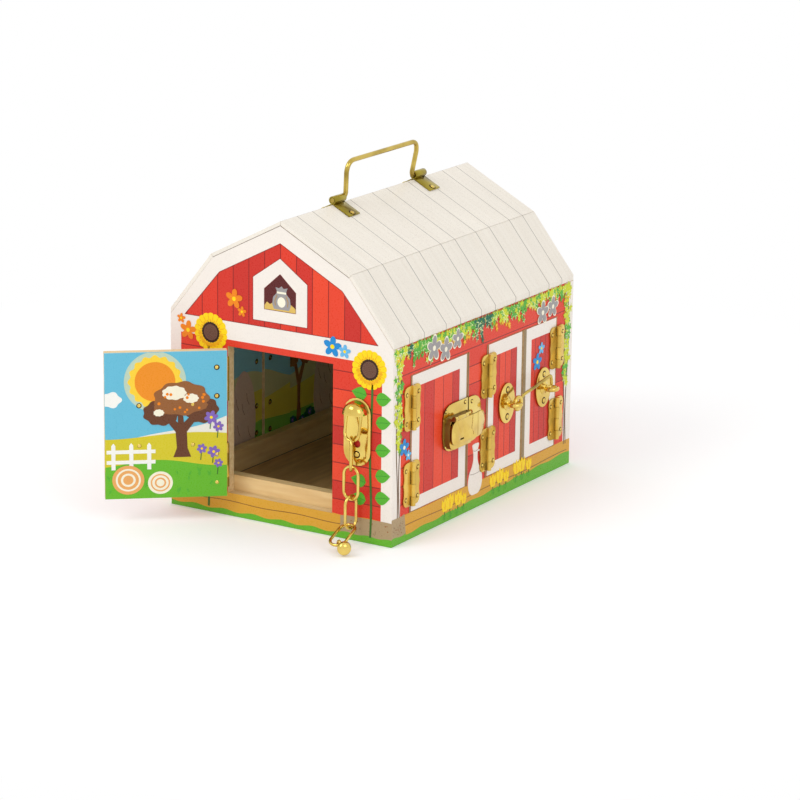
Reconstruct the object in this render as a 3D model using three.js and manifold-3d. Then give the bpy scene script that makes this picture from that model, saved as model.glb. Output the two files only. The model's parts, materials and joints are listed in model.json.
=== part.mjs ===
// Toy barn with opening doors, in millimetres.
// X runs to the right along the front wall, Y from the front to the back, Z up.
// The origin is the middle of the footprint, on the surface that the barn stands on.

import * as THREE from 'three';
import { mergeVertices } from 'three/addons/utils/BufferGeometryUtils.js';
import Module from 'manifold-3d';

const wasm = await Module();
wasm.setup();

// House: walls, roof and base
const doorwayWidth = 105.2;
const frontPost = 58.4;
const eaveHeight = 168.2;
const lowerRoofRise = 54.7;
const upperRoofRise = 35.1;
const roofBreakInset = 43.6;
const wallThickness = 9;
const roofThickness = 3;
const doorThickness = 7;
const floorThickness = 13;
const railHeight = 20.5;
const railThickness = 9.5;

// Door heights above the floor line and below the eave
const frontSill = 19.9;
const frontHeader = 19.9;
const sideSill = 23;
const sideHeader = 26.9;

// Right wall from front to back: post, single door, post, two leaves, post
const rightFrontPost = 29.1;
const singleDoorSpan = 89.8;
const rightMiddlePost = 34.7;
const leafSpan = 59.5;
const rightRearPost = 28.4;

// Left wall from front to back: post, door, post, door, and the rest
const leftFrontPost = 38.4;
const leftMiddlePost = 41.8;

// Clearances
const seatGap = 0.3;
const doorGap = 1.2;
const singleFreeGap = 1.6;
const meetingGap = 2.6;
const runningGap = 0.3;
const overrun = 2;

// Butt hinges
const hingeHeight = 38;
const hingeLeafWidth = 12.7;
const hingeLeafThickness = 1;
const knuckleRadius = 2.2;
const hingePinRadius = 0.9;
const hingeWaistDepth = 1.1;
const hingeFromDoorTopShare = 0.1635;
const hingeFromDoorBottomShare = 0.1516;
const hingeCornerShare = 0.55;
const hingeRivetShare = 0.33;
const knuckleShares = [0, 0.22, 0.5, 0.79, 1];

// Carrying handle and its two straps over the ridge
const handleSpan = 107;
const handleHeight = 31.5;
const handleWireRadius = 2.1;
const handleCornerRadius = 10;
const handleFootRadius = 4.2;
const handleSplay = 2.6;
const handleBackset = 1.5;
const handleLean = 7.5;
const strapWidth = 17;
const strapThickness = 1;
const strapFootLength = 19;
const strapSideGap = 3;
const strapKnuckleWall = 1.1;

// Box latch on the single door
const latchPlateThickness = 1.2;
const latchDoorReach = 41;
const latchWallReach = 21.6;
const latchPlateHeight = 41;
const latchWallPlateHeight = 40;
const latchCornerRadius = 15;
const latchBoxDepth = 5;
const latchBoxInset = 2.5;
const latchBoxCornerRadius = 9;
const latchCoverStandoff = 7.2;
const latchCoverThickness = 1.2;
const latchCoverTop = 7.4;
const latchCoverBottom = 14;
const latchCoverBend = 3.8;
const latchCoverReach = 19.6;
const latchCoverLip = 4;
const latchCoverDrop = 1.8;
const latchBarrelRadius = 2.3;
const latchBarrelLength = 12;
const latchBarrelInset = 5;
const latchEarLength = 4;
const latchSlotSetback = 14;
const latchSlotLength = 6;
const latchSlotHeight = 1.4;
const latchCatchSetback = 1.2;
const latchCatchWidth = 6;
const latchCatchHeight = 9;
const latchCatchDepth = 4.5;

// Cabin hook on the double door
const hookPlateWidth = 26;
const hookPlateHeight = 36;
const hookPlateThickness = 1.6;
const hookPivotSetback = 31.4;
const hookEyeSetback = 23.6;
const hookRingRadius = 5;
const hookWireRadius = 1.6;
const hookRingStandoff = 9.5;
const hookEyeRadius = 4.2;
const hookBarRise = 3.8;
const hookBendLength = 4;
const hookTipDrop = 5;
const hookRestLift = 8.5;

// Chain, its wall plate and its track on the front door
const chainPlateWidth = 26;
const chainPlateHeight = 58;
const chainPlateThickness = 1.5;
const chainPlateFromDoorway = 25;
const chainPlateRise = 10.4;
const chainHoleRadius = 3.4;
const chainHoleDrop = 10;
const hoodRadius = 10.8;
const hoodDepth = 12.6;
const hoodWall = 1.1;
const hoodRise = 16.5;
const hoodBluntnessShare = 0.7;
const hoodLinkDepth = 5.8;
const chainPegRadius = 1.4;
const chainPegRise = 19;
const linkLength = 30.6;
const linkWidth = 16.5;
const linkWireRadius = 1.3;
const linkClearance = 0.35;
const knobRadius = 6;
const knobThickness = 7;
const knobNeckRadius = 2;
const knobNeckLength = 3;
const knobRingRadius = 3.3;
const knobRingWire = 1.1;
const knobShares = [[0, 0], [0.72, 0], [1, 0.3], [0.94, 0.62], [0.62, 0.9], [0, 1]];
const trackPlateWidth = 53;
const trackPlateHeight = 45;
const trackPlateThickness = 1.2;
const trackRailWidth = 44;
const trackRailHeight = 17;
const trackRailDepth = 5;
const trackRailWall = 1.2;
const trackSlotHeight = 5;

// Barrel bolt and turn button on the left wall
const boltAxisDrop = 22;
const boltRadius = 2;
const boltLength = 29;
const boltPlateLength = 28;
const boltPlateHeight = 17;
const boltPlateThickness = 1.2;
const boltStandoff = 3.6;
const boltLoopLength = 4;
const boltLoopWall = 1.2;
const boltLoopInset = 1;
const boltKnobRadius = 1.8;
const boltKnobReach = 8;
const keeperSetback = 5;
const keeperLength = 10;
const buttonLength = 27;
const buttonWidth = 9;
const buttonThickness = 3;
const buttonSetback = 8;
const buttonHubRadius = 3.4;
const buttonHubHeight = 1;

// Angles at rest, in degrees, and facet counts
const frontDoorOpenAngle = 140;
const linkTurns = [0, -60, 0, 82];
const lastLinkHeading = -2;
const knobSeatAngle = 35;
const knobHeading = 54;
const knuckleSides = 12;
const wireSides = 8;
const ringSteps = 16;
const linkSteps = 20;
const handleSides = 10;
const handleSteps = 56;
const roundSides = 24;
const curveSteps = 5;
const hoodSteps = 8;

// Sizes that follow
const barnWidth = doorwayWidth + 2 * frontPost;
const barnLength = rightFrontPost + singleDoorSpan + rightMiddlePost + 2 * leafSpan + rightRearPost;
const halfWidth = barnWidth / 2;
const halfLength = barnLength / 2;
const breakX = halfWidth - roofBreakInset;
const breakHeight = eaveHeight + lowerRoofRise;
const ridgeHeight = breakHeight + upperRoofRise;
const lowerSlope = Math.atan2(lowerRoofRise, roofBreakInset);
const upperSlope = Math.atan2(upperRoofRise, breakX);
const sideDoorMiddle = (sideSill + eaveHeight - sideHeader) / 2;
const frontDoorMiddle = (frontSill + eaveHeight - frontHeader) / 2;
const hingePinOffset = seatGap + knuckleRadius;

// Finishes
const finish = (color, roughness, metalness) => () =>
  new THREE.MeshStandardMaterial({ color, roughness, metalness });
const redPaint = finish(0xd93a2e, 0.45, 0);
const whitePaint = finish(0xf1ebe1, 0.5, 0);
const bareWood = finish(0xe2c391, 0.6, 0);
const brass = finish(0xd8ae45, 0.25, 1);

// A closed geometry as a solid that can be joined and cut
function solidOf(geometry) {
  const bare = geometry.clone();
  bare.deleteAttribute('normal');
  bare.deleteAttribute('uv');
  const merged = mergeVertices(bare);
  return new wasm.Manifold(new wasm.Mesh({
    numProp: 3,
    vertProperties: merged.attributes.position.array,
    triVerts: merged.index.array,
  }));
}

// The geometry of a solid
function geometryOf(solid) {
  const mesh = solid.getMesh();
  const geometry = new THREE.BufferGeometry();
  geometry.setAttribute('position', new THREE.BufferAttribute(mesh.vertProperties, 3));
  geometry.setIndex(new THREE.BufferAttribute(mesh.triVerts, 1));
  geometry.computeVertexNormals();
  return geometry;
}

function piece(name, solid, material) {
  const mesh = new THREE.Mesh(geometryOf(solid), material());
  mesh.name = name;
  return mesh;
}

// Building blocks: every length in them comes from a named size
function block([x0, x1], [y0, y1], [z0, z1]) {
  const geometry = new THREE.BoxGeometry(x1 - x0, y1 - y0, z1 - z0);
  return solidOf(geometry.translate((x0 + x1) / 2, (y0 + y1) / 2, (z0 + z1) / 2));
}

function plate(shape, z0, z1) {
  const settings = { depth: z1 - z0, bevelEnabled: false, curveSegments: curveSteps };
  return solidOf(new THREE.ExtrudeGeometry(shape, settings).translate(0, 0, z0));
}

function outline(points) {
  return new THREE.Shape(points.map(([x, y]) => new THREE.Vector2(x, y)));
}

function rod(radius, length, sides) {
  return new THREE.CylinderGeometry(radius, radius, length, sides);
}

function ring(radius, wire, steps) {
  return new THREE.TorusGeometry(radius, wire, wireSides, steps);
}

function roundedBox(x0, x1, y0, y1, leftRadius, rightRadius) {
  const shape = new THREE.Shape();
  shape.moveTo(x0 + leftRadius, y0);
  shape.lineTo(x1 - rightRadius, y0);
  shape.quadraticCurveTo(x1, y0, x1, y0 + rightRadius);
  shape.lineTo(x1, y1 - rightRadius);
  shape.quadraticCurveTo(x1, y1, x1 - rightRadius, y1);
  shape.lineTo(x0 + leftRadius, y1);
  shape.quadraticCurveTo(x0, y1, x0, y1 - leftRadius);
  shape.lineTo(x0, y0 + leftRadius);
  shape.quadraticCurveTo(x0, y0, x0 + leftRadius, y0);
  return shape;
}

function stadium(width, height) {
  const radius = width / 2;
  const straight = height / 2 - radius;
  const shape = new THREE.Shape();
  shape.absarc(0, straight, radius, 0, Math.PI, false);
  shape.absarc(0, -straight, radius, Math.PI, 2 * Math.PI, false);
  return shape;
}

function rodAlongX(radius, x0, x1, sides) {
  return solidOf(rod(radius, x1 - x0, sides).rotateZ(Math.PI / 2).translate((x0 + x1) / 2, 0, 0));
}

function rodAlongZ(radius, z0, z1, sides) {
  return solidOf(rod(radius, z1 - z0, sides).rotateX(Math.PI / 2).translate(0, 0, (z0 + z1) / 2));
}

const radians = (degrees) => THREE.MathUtils.degToRad(degrees);

// Wall faces: in each group X runs to the right as seen from outside, Y up and Z outward.
// On the right wall X counts from the front face, on the left wall it counts from there backwards.
function wallFace(x, y, turn) {
  const face = new THREE.Group();
  face.position.set(x, y, 0);
  face.rotation.set(Math.PI / 2, 0, turn, 'ZYX');
  return face;
}

const barn = new THREE.Group();
const frontFace = wallFace(0, -halfLength, 0);
const rightFace = wallFace(halfWidth, -halfLength, Math.PI / 2);
const leftFace = wallFace(-halfWidth, -halfLength, -Math.PI / 2);
const backFace = wallFace(0, halfLength, Math.PI);
barn.add(frontFace, rightFace, leftFace, backFace);

// Base: a floor board with four rails glued on it, which also stop the doors
function makeBase() {
  const x = halfWidth - wallThickness - seatGap;
  const y = halfLength - wallThickness - seatGap;
  const top = floorThickness + railHeight;
  const body = block([-x, x], [-y, y], [0, top]);
  const hollow = block(
    [-x + railThickness, x - railThickness],
    [-y + railThickness, y - railThickness],
    [floorThickness, top + overrun],
  );
  barn.add(piece('base_tray', body.subtract(hollow), bareWood));
}

// Gable walls follow the roof line; the front one has the doorway
function gableOutline() {
  return outline([
    [-halfWidth, 0], [halfWidth, 0], [halfWidth, eaveHeight], [breakX, breakHeight],
    [0, ridgeHeight], [-breakX, breakHeight], [-halfWidth, eaveHeight],
  ]);
}

function makeGableWalls() {
  const half = doorwayWidth / 2;
  const front = plate(gableOutline(), -wallThickness, 0);
  const doorway = block(
    [-half, half],
    [frontSill, eaveHeight - frontHeader],
    [-wallThickness - overrun, overrun],
  );
  frontFace.add(piece('front_wall', front.subtract(doorway), redPaint));
  backFace.add(piece('back_wall', plate(gableOutline(), -wallThickness, 0), redPaint));
}

// Side walls stand between the gable walls, with their top edges bevelled to the roof
function sideWall(name, face, doorways, direction) {
  const start = wallThickness + seatGap;
  const end = barnLength - start;
  const bevelRise = wallThickness * Math.tan(lowerSlope);
  const top = eaveHeight - seatGap;
  const section = outline([[0, 0], [wallThickness, 0], [wallThickness, top + bevelRise], [0, top]]);
  const settings = { depth: end - start, bevelEnabled: false };
  const geometry = new THREE.ExtrudeGeometry(section, settings).rotateY(Math.PI / 2);
  const from = direction > 0 ? start : -end;
  let wall = solidOf(geometry.translate(from, 0, 0));
  for (const [a, b] of doorways) {
    const span = direction > 0 ? [a, b] : [-b, -a];
    wall = wall.subtract(block(
      span,
      [sideSill, eaveHeight - sideHeader],
      [-wallThickness - overrun, overrun],
    ));
  }
  face.add(piece(name, wall, redPaint));
}

// The front door's hinge pin and free edge, across the front
const frontHingeLine = -doorwayWidth / 2 + doorGap / 2;
const frontFreeLine = doorwayWidth / 2 - doorGap;

// Doorways along the side walls, from the front face
const singleHingeLine = rightFrontPost;
const singleFreeLine = singleHingeLine + singleDoorSpan;
const doubleFrontLine = singleFreeLine + rightMiddlePost;
const doubleMeetLine = doubleFrontLine + leafSpan;
const doubleRearLine = doubleMeetLine + leafSpan;
const leftFrontFreeLine = leftFrontPost;
const leftFrontHingeLine = leftFrontFreeLine + singleDoorSpan;
const leftRearFreeLine = leftFrontHingeLine + leftMiddlePost;
const leftRearHingeLine = leftRearFreeLine + singleDoorSpan;

function makeSideWalls() {
  const hingeJamb = doorGap / 2;
  const freeJamb = singleFreeGap / 2;
  sideWall('right_wall', rightFace, [
    [singleHingeLine - hingeJamb, singleFreeLine + freeJamb],
    [doubleFrontLine - hingeJamb, doubleRearLine + hingeJamb],
  ], 1);
  sideWall('left_wall', leftFace, [
    [leftFrontFreeLine - freeJamb, leftFrontHingeLine + hingeJamb],
    [leftRearFreeLine - freeJamb, leftRearHingeLine + hingeJamb],
  ], -1);
}

// Roof: four thin boards whose front and back edges are flush with the gables
function roofLine(offset) {
  const eave = eaveHeight + offset / Math.cos(lowerSlope);
  const ridge = ridgeHeight + offset / Math.cos(upperSlope);
  const slopeDifference = Math.tan(lowerSlope) - Math.tan(upperSlope);
  const x = (eave + halfWidth * Math.tan(lowerSlope) - ridge) / slopeDifference;
  return { eave: [halfWidth, eave], bend: [x, ridge - x * Math.tan(upperSlope)], ridge: [0, ridge] };
}

function makeRoof() {
  const inner = roofLine(seatGap);
  const outer = roofLine(seatGap + roofThickness);
  const joint = seatGap / 2;
  const slip = ([x, y], slope, way) => [
    x + way * joint * Math.cos(slope),
    y - way * joint * Math.sin(slope),
  ];
  const lower = [
    inner.eave,
    outer.eave,
    slip(outer.bend, lowerSlope, 1),
    slip(inner.bend, lowerSlope, 1),
  ];
  const upper = [
    slip(inner.bend, upperSlope, -1),
    slip(outer.bend, upperSlope, -1),
    [joint, outer.ridge[1] - joint * Math.tan(upperSlope)],
    [joint, inner.ridge[1] - joint * Math.tan(upperSlope)],
  ];
  for (const [side, sign] of [['right', 1], ['left', -1]]) {
    for (const [part, points] of [['lower', lower], ['upper', upper]]) {
      const board = plate(outline(points.map(([x, y]) => [sign * x, y])), -barnLength, 0);
      frontFace.add(piece(`roof_${part}_${side}`, board, whitePaint));
    }
  }
}

// Handle: a wire bail whose ends turn outward into the knuckles of two straps over the ridge
const ridgeTop = roofLine(seatGap + roofThickness).ridge[1];
const strapKnuckleRadius = handleWireRadius + runningGap + strapKnuckleWall;
const handlePivotHeight = ridgeTop + seatGap + strapKnuckleRadius;

function handlePath() {
  const foot = handleSpan / 2;
  const top = foot + handleSplay;
  const end = foot + strapSideGap + strapWidth;
  const bend = handleFootRadius;
  const path = new THREE.CurvePath();
  const corner = handleCornerRadius;
  const stops = [
    [end, 0], [foot + bend, 0], [foot, bend], [top, handleHeight - corner],
    [top - corner, handleHeight], [-top + corner, handleHeight], [-top, handleHeight - corner],
    [-foot, bend], [-foot - bend, 0], [-end, 0],
  ].map(([y, z]) => new THREE.Vector3(0, y, z));
  const elbows = [[foot, 0], [top, handleHeight], [-top, handleHeight], [-foot, 0]]
    .map(([y, z]) => new THREE.Vector3(0, y, z));
  path.add(new THREE.LineCurve3(stops[0], stops[1]));
  elbows.forEach((elbow, i) => {
    path.add(new THREE.QuadraticBezierCurve3(stops[2 * i + 1], elbow, stops[2 * i + 2]));
    path.add(new THREE.LineCurve3(stops[2 * i + 2], stops[2 * i + 3]));
  });
  return path;
}

function circle(radius, sides) {
  const points = [];
  for (let i = 0; i < sides; i += 1) {
    const angle = (2 * Math.PI * i) / sides;
    points.push([radius * Math.cos(angle), radius * Math.sin(angle)]);
  }
  return outline(points);
}

function makeHandle() {
  const settings = { steps: handleSteps, bevelEnabled: false, extrudePath: handlePath() };
  const bail = new THREE.ExtrudeGeometry(circle(handleWireRadius, handleSides), settings);
  const lean = new THREE.Group();
  lean.position.set(0, handleBackset, handlePivotHeight);
  lean.rotation.y = radians(handleLean);
  lean.add(piece('carry_handle', solidOf(bail), brass));
  barn.add(lean);
  const low = roofLine(seatGap + roofThickness + seatGap);
  const high = roofLine(seatGap + roofThickness + seatGap + strapThickness);
  const footX = strapFootLength * Math.cos(upperSlope);
  const footY = strapFootLength * Math.sin(upperSlope);
  const saddle = outline([
    [-footX, low.ridge[1] - footY], [0, low.ridge[1]], [footX, low.ridge[1] - footY],
    [footX, high.ridge[1] - footY], [0, high.ridge[1]], [-footX, high.ridge[1] - footY],
  ]);
  for (const [name, sign] of [['front', -1], ['rear', 1]]) {
    const middle = handleBackset + sign * (handleSpan / 2 + strapSideGap + strapWidth / 2);
    const near = -halfLength - middle - strapWidth / 2;
    const knuckle = rodAlongZ(strapKnuckleRadius, near, near + strapWidth, roundSides)
      .translate([0, handlePivotHeight, 0]);
    const boreRadius = handleWireRadius + runningGap;
    const bore = rodAlongZ(boreRadius, near - overrun, near + strapWidth + overrun, roundSides)
      .translate([0, handlePivotHeight, 0]);
    const strap = plate(saddle, near, near + strapWidth).add(knuckle).subtract(bore);
    frontFace.add(piece(`handle_strap_${name}`, strap, brass));
  }
}

// Doors: a group on the hinge line holds the board and what is fixed to it.
// The hand is 1 where the board lies towards +X of its face, and -1 where it lies the other way.
function doorGroup(face, line, openAngle, hand) {
  const group = new THREE.Group();
  group.position.set(line, 0, hingePinOffset);
  group.rotation.y = radians(-hand * openAngle);
  face.add(group);
  return group;
}

function addDoor(name, group, hand, width, sill, header) {
  const near = doorGap / 2;
  const a = hand * near;
  const b = hand * width;
  const x = [Math.min(a, b), Math.max(a, b)];
  const y = [sill + doorGap / 2, eaveHeight - header - doorGap / 2];
  const z = [-hingePinOffset - doorThickness, -hingePinOffset];
  group.add(piece(name, block(x, y, z), redPaint));
}

// A hinge leaf lies along +X or -X from the pin, which runs along Y at the origin
function hingeLeaf(side, turns, bore) {
  const half = hingeHeight / 2;
  const rivet = hingeHeight * hingeRivetShare;
  const reach = side * hingeLeafWidth;
  const corner = side * hingeLeafWidth * hingeCornerShare;
  const waist = side * (hingeLeafWidth - 2 * hingeWaistDepth);
  const shape = new THREE.Shape();
  shape.moveTo(0, half);
  shape.lineTo(corner, half);
  shape.quadraticCurveTo(reach, half, reach, rivet);
  shape.quadraticCurveTo(waist, rivet / 2, reach, 0);
  shape.quadraticCurveTo(waist, -rivet / 2, reach, -rivet);
  shape.quadraticCurveTo(reach, -half, corner, -half);
  shape.lineTo(0, -half);
  let leaf = plate(shape, -knuckleRadius, -knuckleRadius + hingeLeafThickness);
  const clear = knuckleRadius + runningGap;
  knuckleShares.slice(1).forEach((share, i) => {
    const top = half - hingeHeight * knuckleShares[i];
    const bottom = half - hingeHeight * share;
    const own = i % 2 === turns;
    const upGap = i === 0 ? 0 : runningGap / 2;
    const downGap = share === 1 ? 0 : runningGap / 2;
    if (own) {
      const length = top - upGap - bottom - downGap;
      const knuckle = rod(knuckleRadius, length, knuckleSides)
        .translate(0, (top - upGap + bottom + downGap) / 2, 0);
      leaf = leaf.add(solidOf(knuckle));
    } else {
      const y = [i === knuckleShares.length - 2 ? bottom - overrun : bottom - downGap,
        i === 0 ? top + overrun : top + upGap];
      leaf = leaf.subtract(block([-clear, clear], y, [-clear, clear]));
    }
  });
  return bore ? leaf.subtract(solidOf(rod(hingePinRadius + runningGap, hingeHeight + overrun, knuckleSides)))
    : leaf.add(solidOf(rod(hingePinRadius, hingeHeight, knuckleSides)));
}

function addHinges(name, face, group, line, hand, sill, header) {
  const heights = {
    upper: eaveHeight * (1 - hingeFromDoorTopShare) - header,
    lower: sill + eaveHeight * hingeFromDoorBottomShare,
  };
  for (const [level, height] of Object.entries(heights)) {
    const fixed = piece(`${name}_hinge_${level}_wall_leaf`, hingeLeaf(-hand, 0, false), brass);
    fixed.position.set(line, height, hingePinOffset);
    face.add(fixed);
    const moving = piece(`${name}_hinge_${level}_door_leaf`, hingeLeaf(hand, 1, true), brass);
    moving.position.set(0, height, 0);
    group.add(moving);
  }
}

function makeDoor(name, face, line, hand, width, sill, header, openAngle) {
  const group = doorGroup(face, line, openAngle, hand);
  addDoor(name, group, hand, width, sill, header);
  addHinges(name, face, group, line, hand, sill, header);
  return group;
}

const faceOfDoor = -hingePinOffset;

// Box latch: a plate with a block on the door, a sprung cover that flips up, a catch on the wall.
// Places are measured from the gap line at the door's free edge and from the doors' middle height.
function latchPlateOutline(x0, x1, height, radiusLeft, radiusRight) {
  return roundedBox(x0, x1, -height / 2, height / 2, radiusLeft, radiusRight);
}

function makeBoxLatch(group) {
  const gap = singleFreeGap / 2;
  const lift = faceOfDoor + seatGap;
  const boxTop = lift + latchPlateThickness + latchBoxDepth;
  const boxStart = -latchDoorReach + latchBoxInset;
  const pivotY = latchCoverTop + latchBarrelRadius + runningGap;
  const pivotZ = boxTop + latchBarrelRadius + runningGap;
  const barrelStart = -latchDoorReach + latchBarrelInset;
  const left = plate(
    latchPlateOutline(-latchDoorReach, -gap, latchPlateHeight, latchCornerRadius, runningGap),
    lift,
    lift + latchPlateThickness,
  );
  const box = plate(
    roundedBox(
      boxStart, -gap - latchBoxInset, latchBoxInset - latchPlateHeight / 2, pivotY,
      latchBoxCornerRadius, runningGap,
    ),
    lift,
    boxTop,
  );
  const ear = (start) => {
    const barrel = rodAlongX(latchBarrelRadius, start, start + latchEarLength, knuckleSides)
      .translate([0, pivotY, pivotZ]);
    const foot = block(
      [start, start + latchEarLength],
      [pivotY - latchBarrelRadius, pivotY],
      [lift, pivotZ],
    );
    return barrel.add(foot);
  };
  const barrelNear = barrelStart + latchEarLength + runningGap;
  const barrelFar = barrelNear + latchBarrelLength;
  const farEar = barrelFar + runningGap;
  const pin = rodAlongX(hingePinRadius, barrelStart, farEar + latchEarLength, knuckleSides)
    .translate([0, pivotY, pivotZ]);
  const base = left.add(box).add(ear(barrelStart)).add(ear(farEar)).add(pin);
  const baseMesh = piece('latch_base', base, brass);
  baseMesh.position.set(singleDoorSpan, sideDoorMiddle, 0);
  group.add(baseMesh);

  // Cover: a flat plate that slopes down past the gap line, with a lip, a slot and the hinge barrel
  const under = lift + latchCoverStandoff;
  const top = under + latchCoverThickness;
  const slopeStart = latchCoverBend;
  const coverEnd = latchCoverReach + latchCoverThickness;
  const coverHeight = latchCoverTop + latchCoverBottom;
  const section = outline([
    [boxStart, under], [slopeStart, under], [latchCoverReach, under - latchCoverDrop],
    [coverEnd, under - latchCoverDrop], [slopeStart + latchCoverThickness, top], [boxStart, top],
  ]);
  const settings = { depth: coverHeight, bevelEnabled: false };
  const sheet = new THREE.ExtrudeGeometry(section, settings).translate(0, 0, -latchCoverTop);
  const trim = plate(
    roundedBox(
      boxStart, coverEnd, -latchCoverBottom, latchCoverTop,
      latchBoxCornerRadius, coverHeight / 2,
    ),
    lift,
    top + overrun,
  );
  const lip = block(
    [boxStart + latchBoxCornerRadius, slopeStart],
    [-latchCoverBottom, -latchCoverBottom + latchCoverThickness],
    [boxTop + runningGap, top],
  );
  const barrel = rodAlongX(latchBarrelRadius, barrelNear, barrelFar, knuckleSides)
    .translate([0, pivotY, pivotZ]);
  const arm = block(
    [barrelNear, barrelFar],
    [latchCoverTop - latchCoverLip, pivotY],
    [under, top],
  );
  const slotX = boxStart + latchSlotSetback;
  const slotY = -latchCoverBottom + latchCoverLip;
  const slot = block(
    [slotX, slotX + latchSlotLength],
    [slotY - latchSlotHeight / 2, slotY + latchSlotHeight / 2],
    [under - overrun, top + overrun],
  );
  const bore = rodAlongX(
    hingePinRadius + runningGap, barrelNear - overrun, barrelFar + overrun, knuckleSides,
  ).translate([0, pivotY, pivotZ]);
  const cover = solidOf(sheet.rotateX(Math.PI / 2)).intersect(trim)
    .add(lip).add(barrel).add(arm).subtract(slot).subtract(bore);
  const coverMesh = piece('latch_cover', cover, brass);
  coverMesh.position.set(singleDoorSpan, sideDoorMiddle, 0);
  group.add(coverMesh);

  const wallPlate = plate(
    latchPlateOutline(gap, latchWallReach, latchWallPlateHeight, runningGap, latchCornerRadius),
    seatGap,
    seatGap + latchPlateThickness,
  );
  const catchStart = gap + latchCatchSetback;
  const catchBlock = block(
    [catchStart, catchStart + latchCatchWidth],
    [-latchCatchHeight / 2, latchCatchHeight / 2],
    [seatGap, seatGap + latchPlateThickness + latchCatchDepth],
  );
  const catchMesh = piece('latch_catch', wallPlate.add(catchBlock), brass);
  catchMesh.position.set(singleFreeLine, sideDoorMiddle, 0);
  rightFace.add(catchMesh);
}

// Cabin hook: an oval plate with a ring on each leaf, and a hook that drops into the far ring
function ringPlate(direction) {
  const shape = new THREE.Shape();
  shape.absellipse(0, 0, hookPlateWidth / 2, hookPlateHeight / 2, 0, 2 * Math.PI, false, 0);
  const lift = faceOfDoor + seatGap;
  const back = plate(shape, lift, lift + hookPlateThickness);
  const neck = rodAlongZ(hookWireRadius, lift, faceOfDoor + hookRingStandoff - hookRingRadius, wireSides);
  const eye = ring(hookRingRadius, hookWireRadius, ringSteps)
    .rotateX(Math.PI / 2).translate(0, 0, faceOfDoor + hookRingStandoff);
  return back.add(neck).add(solidOf(eye)).translate([direction, 0, 0]);
}

function makeHook(nearGroup, farGroup) {
  const nearX = hookPivotSetback;
  const nearPlate = piece('hook_pivot_plate', ringPlate(nearX), brass);
  nearPlate.position.y = sideDoorMiddle;
  nearGroup.add(nearPlate);
  const farPlate = piece('hook_eye_plate', ringPlate(-hookEyeSetback), brass);
  farPlate.position.y = sideDoorMiddle;
  farGroup.add(farPlate);

  // The hook's eye is threaded on the near ring; its bar passes over the far ring when it is down
  const arm = 2 * leafSpan - hookPivotSetback - hookEyeSetback - hookRingRadius;
  const route = new THREE.CatmullRomCurve3([
    [hookEyeRadius, 0], [hookEyeRadius + hookBendLength, hookBarRise],
    [arm / 2, hookBarRise], [arm - hookBendLength, hookBarRise],
    [arm, 0], [arm, -hookTipDrop],
  ].map(([x, y]) => new THREE.Vector3(x, y, 0)));
  const settings = { steps: linkSteps, bevelEnabled: false, extrudePath: route };
  const bar = new THREE.ExtrudeGeometry(circle(hookWireRadius, wireSides), settings);
  const eye = ring(hookEyeRadius, hookWireRadius, ringSteps);
  const hook = piece('cabin_hook', solidOf(bar).add(solidOf(eye)), brass);
  const pivot = new THREE.Group();
  pivot.position.set(nearX + hookRingRadius, sideDoorMiddle, faceOfDoor + hookRingStandoff);
  pivot.rotation.z = radians(hookRestLift);
  pivot.add(hook);
  nearGroup.add(pivot);
}

// Chain: a hooded wall plate, oval links and a knob that slides in the track on the front door
const linkArc = linkWidth / 2 - linkWireRadius;
const linkStraight = linkLength / 2 - linkWidth / 2;
const linkHang = 2 * linkWireRadius + linkClearance;
const linkPitch = linkLength - 2 * linkWireRadius - linkHang;
const chainX = doorwayWidth / 2 + chainPlateFromDoorway;
const chainPlateY = frontDoorMiddle + chainPlateRise;
const chainPlateTop = seatGap + chainPlateThickness;
const chainDepth = chainPlateTop + seatGap + linkWidth / 2;

// An oval link in its own frame: it hangs down Y from the middle of its top bend
function linkSolid() {
  const geometry = new THREE.TorusGeometry(linkArc, linkWireRadius, wireSides, linkSteps)
    .rotateZ(Math.PI / linkSteps);
  const spots = geometry.attributes.position;
  for (let i = 0; i < spots.count; i += 1) {
    spots.setY(i, spots.getY(i) + Math.sign(spots.getY(i)) * linkStraight);
  }
  return solidOf(geometry.translate(0, -linkArc - linkStraight, 0));
}

function makeChainPlate() {
  const back = plate(stadium(chainPlateWidth, chainPlateHeight), seatGap, chainPlateTop);
  const hole = rodAlongZ(chainHoleRadius, -overrun, chainPlateTop + overrun, roundSides)
    .translate([0, -chainHoleDrop, 0]);
  const dome = (radius, depth) => {
    const root = -chainPlateThickness / 2;
    const profile = [new THREE.Vector2(0, root), new THREE.Vector2(radius, root)];
    for (let i = 0; i <= hoodSteps; i += 1) {
      const angle = (Math.PI / 2) * (i / hoodSteps);
      const out = i === hoodSteps ? 0 : Math.cos(angle) ** hoodBluntnessShare;
      profile.push(new THREE.Vector2(radius * out, depth * Math.sin(angle) ** hoodBluntnessShare));
    }
    const cup = new THREE.LatheGeometry(profile, roundSides).rotateX(Math.PI / 2);
    return solidOf(cup).translate([0, hoodRise, chainPlateTop]);
  };
  const window = block(
    [-chainPlateWidth, chainPlateWidth],
    [hoodRise, hoodRise + chainPlateHeight],
    [seatGap, hoodDepth + chainPlateTop + overrun],
  );
  const hood = dome(hoodRadius, hoodDepth)
    .subtract(dome(hoodRadius - hoodWall, hoodDepth - hoodWall))
    .intersect(window);
  const peg = rodAlongZ(chainPegRadius, seatGap, chainPlateTop + hoodDepth, wireSides)
    .translate([0, chainPegRise, 0])
    .intersect(dome(hoodRadius - hoodWall / 2, hoodDepth - hoodWall / 2));
  const mesh = piece('chain_plate', back.add(hood).add(peg).subtract(hole), brass);
  mesh.position.set(chainX, chainPlateY, 0);
  frontFace.add(mesh);
}

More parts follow.
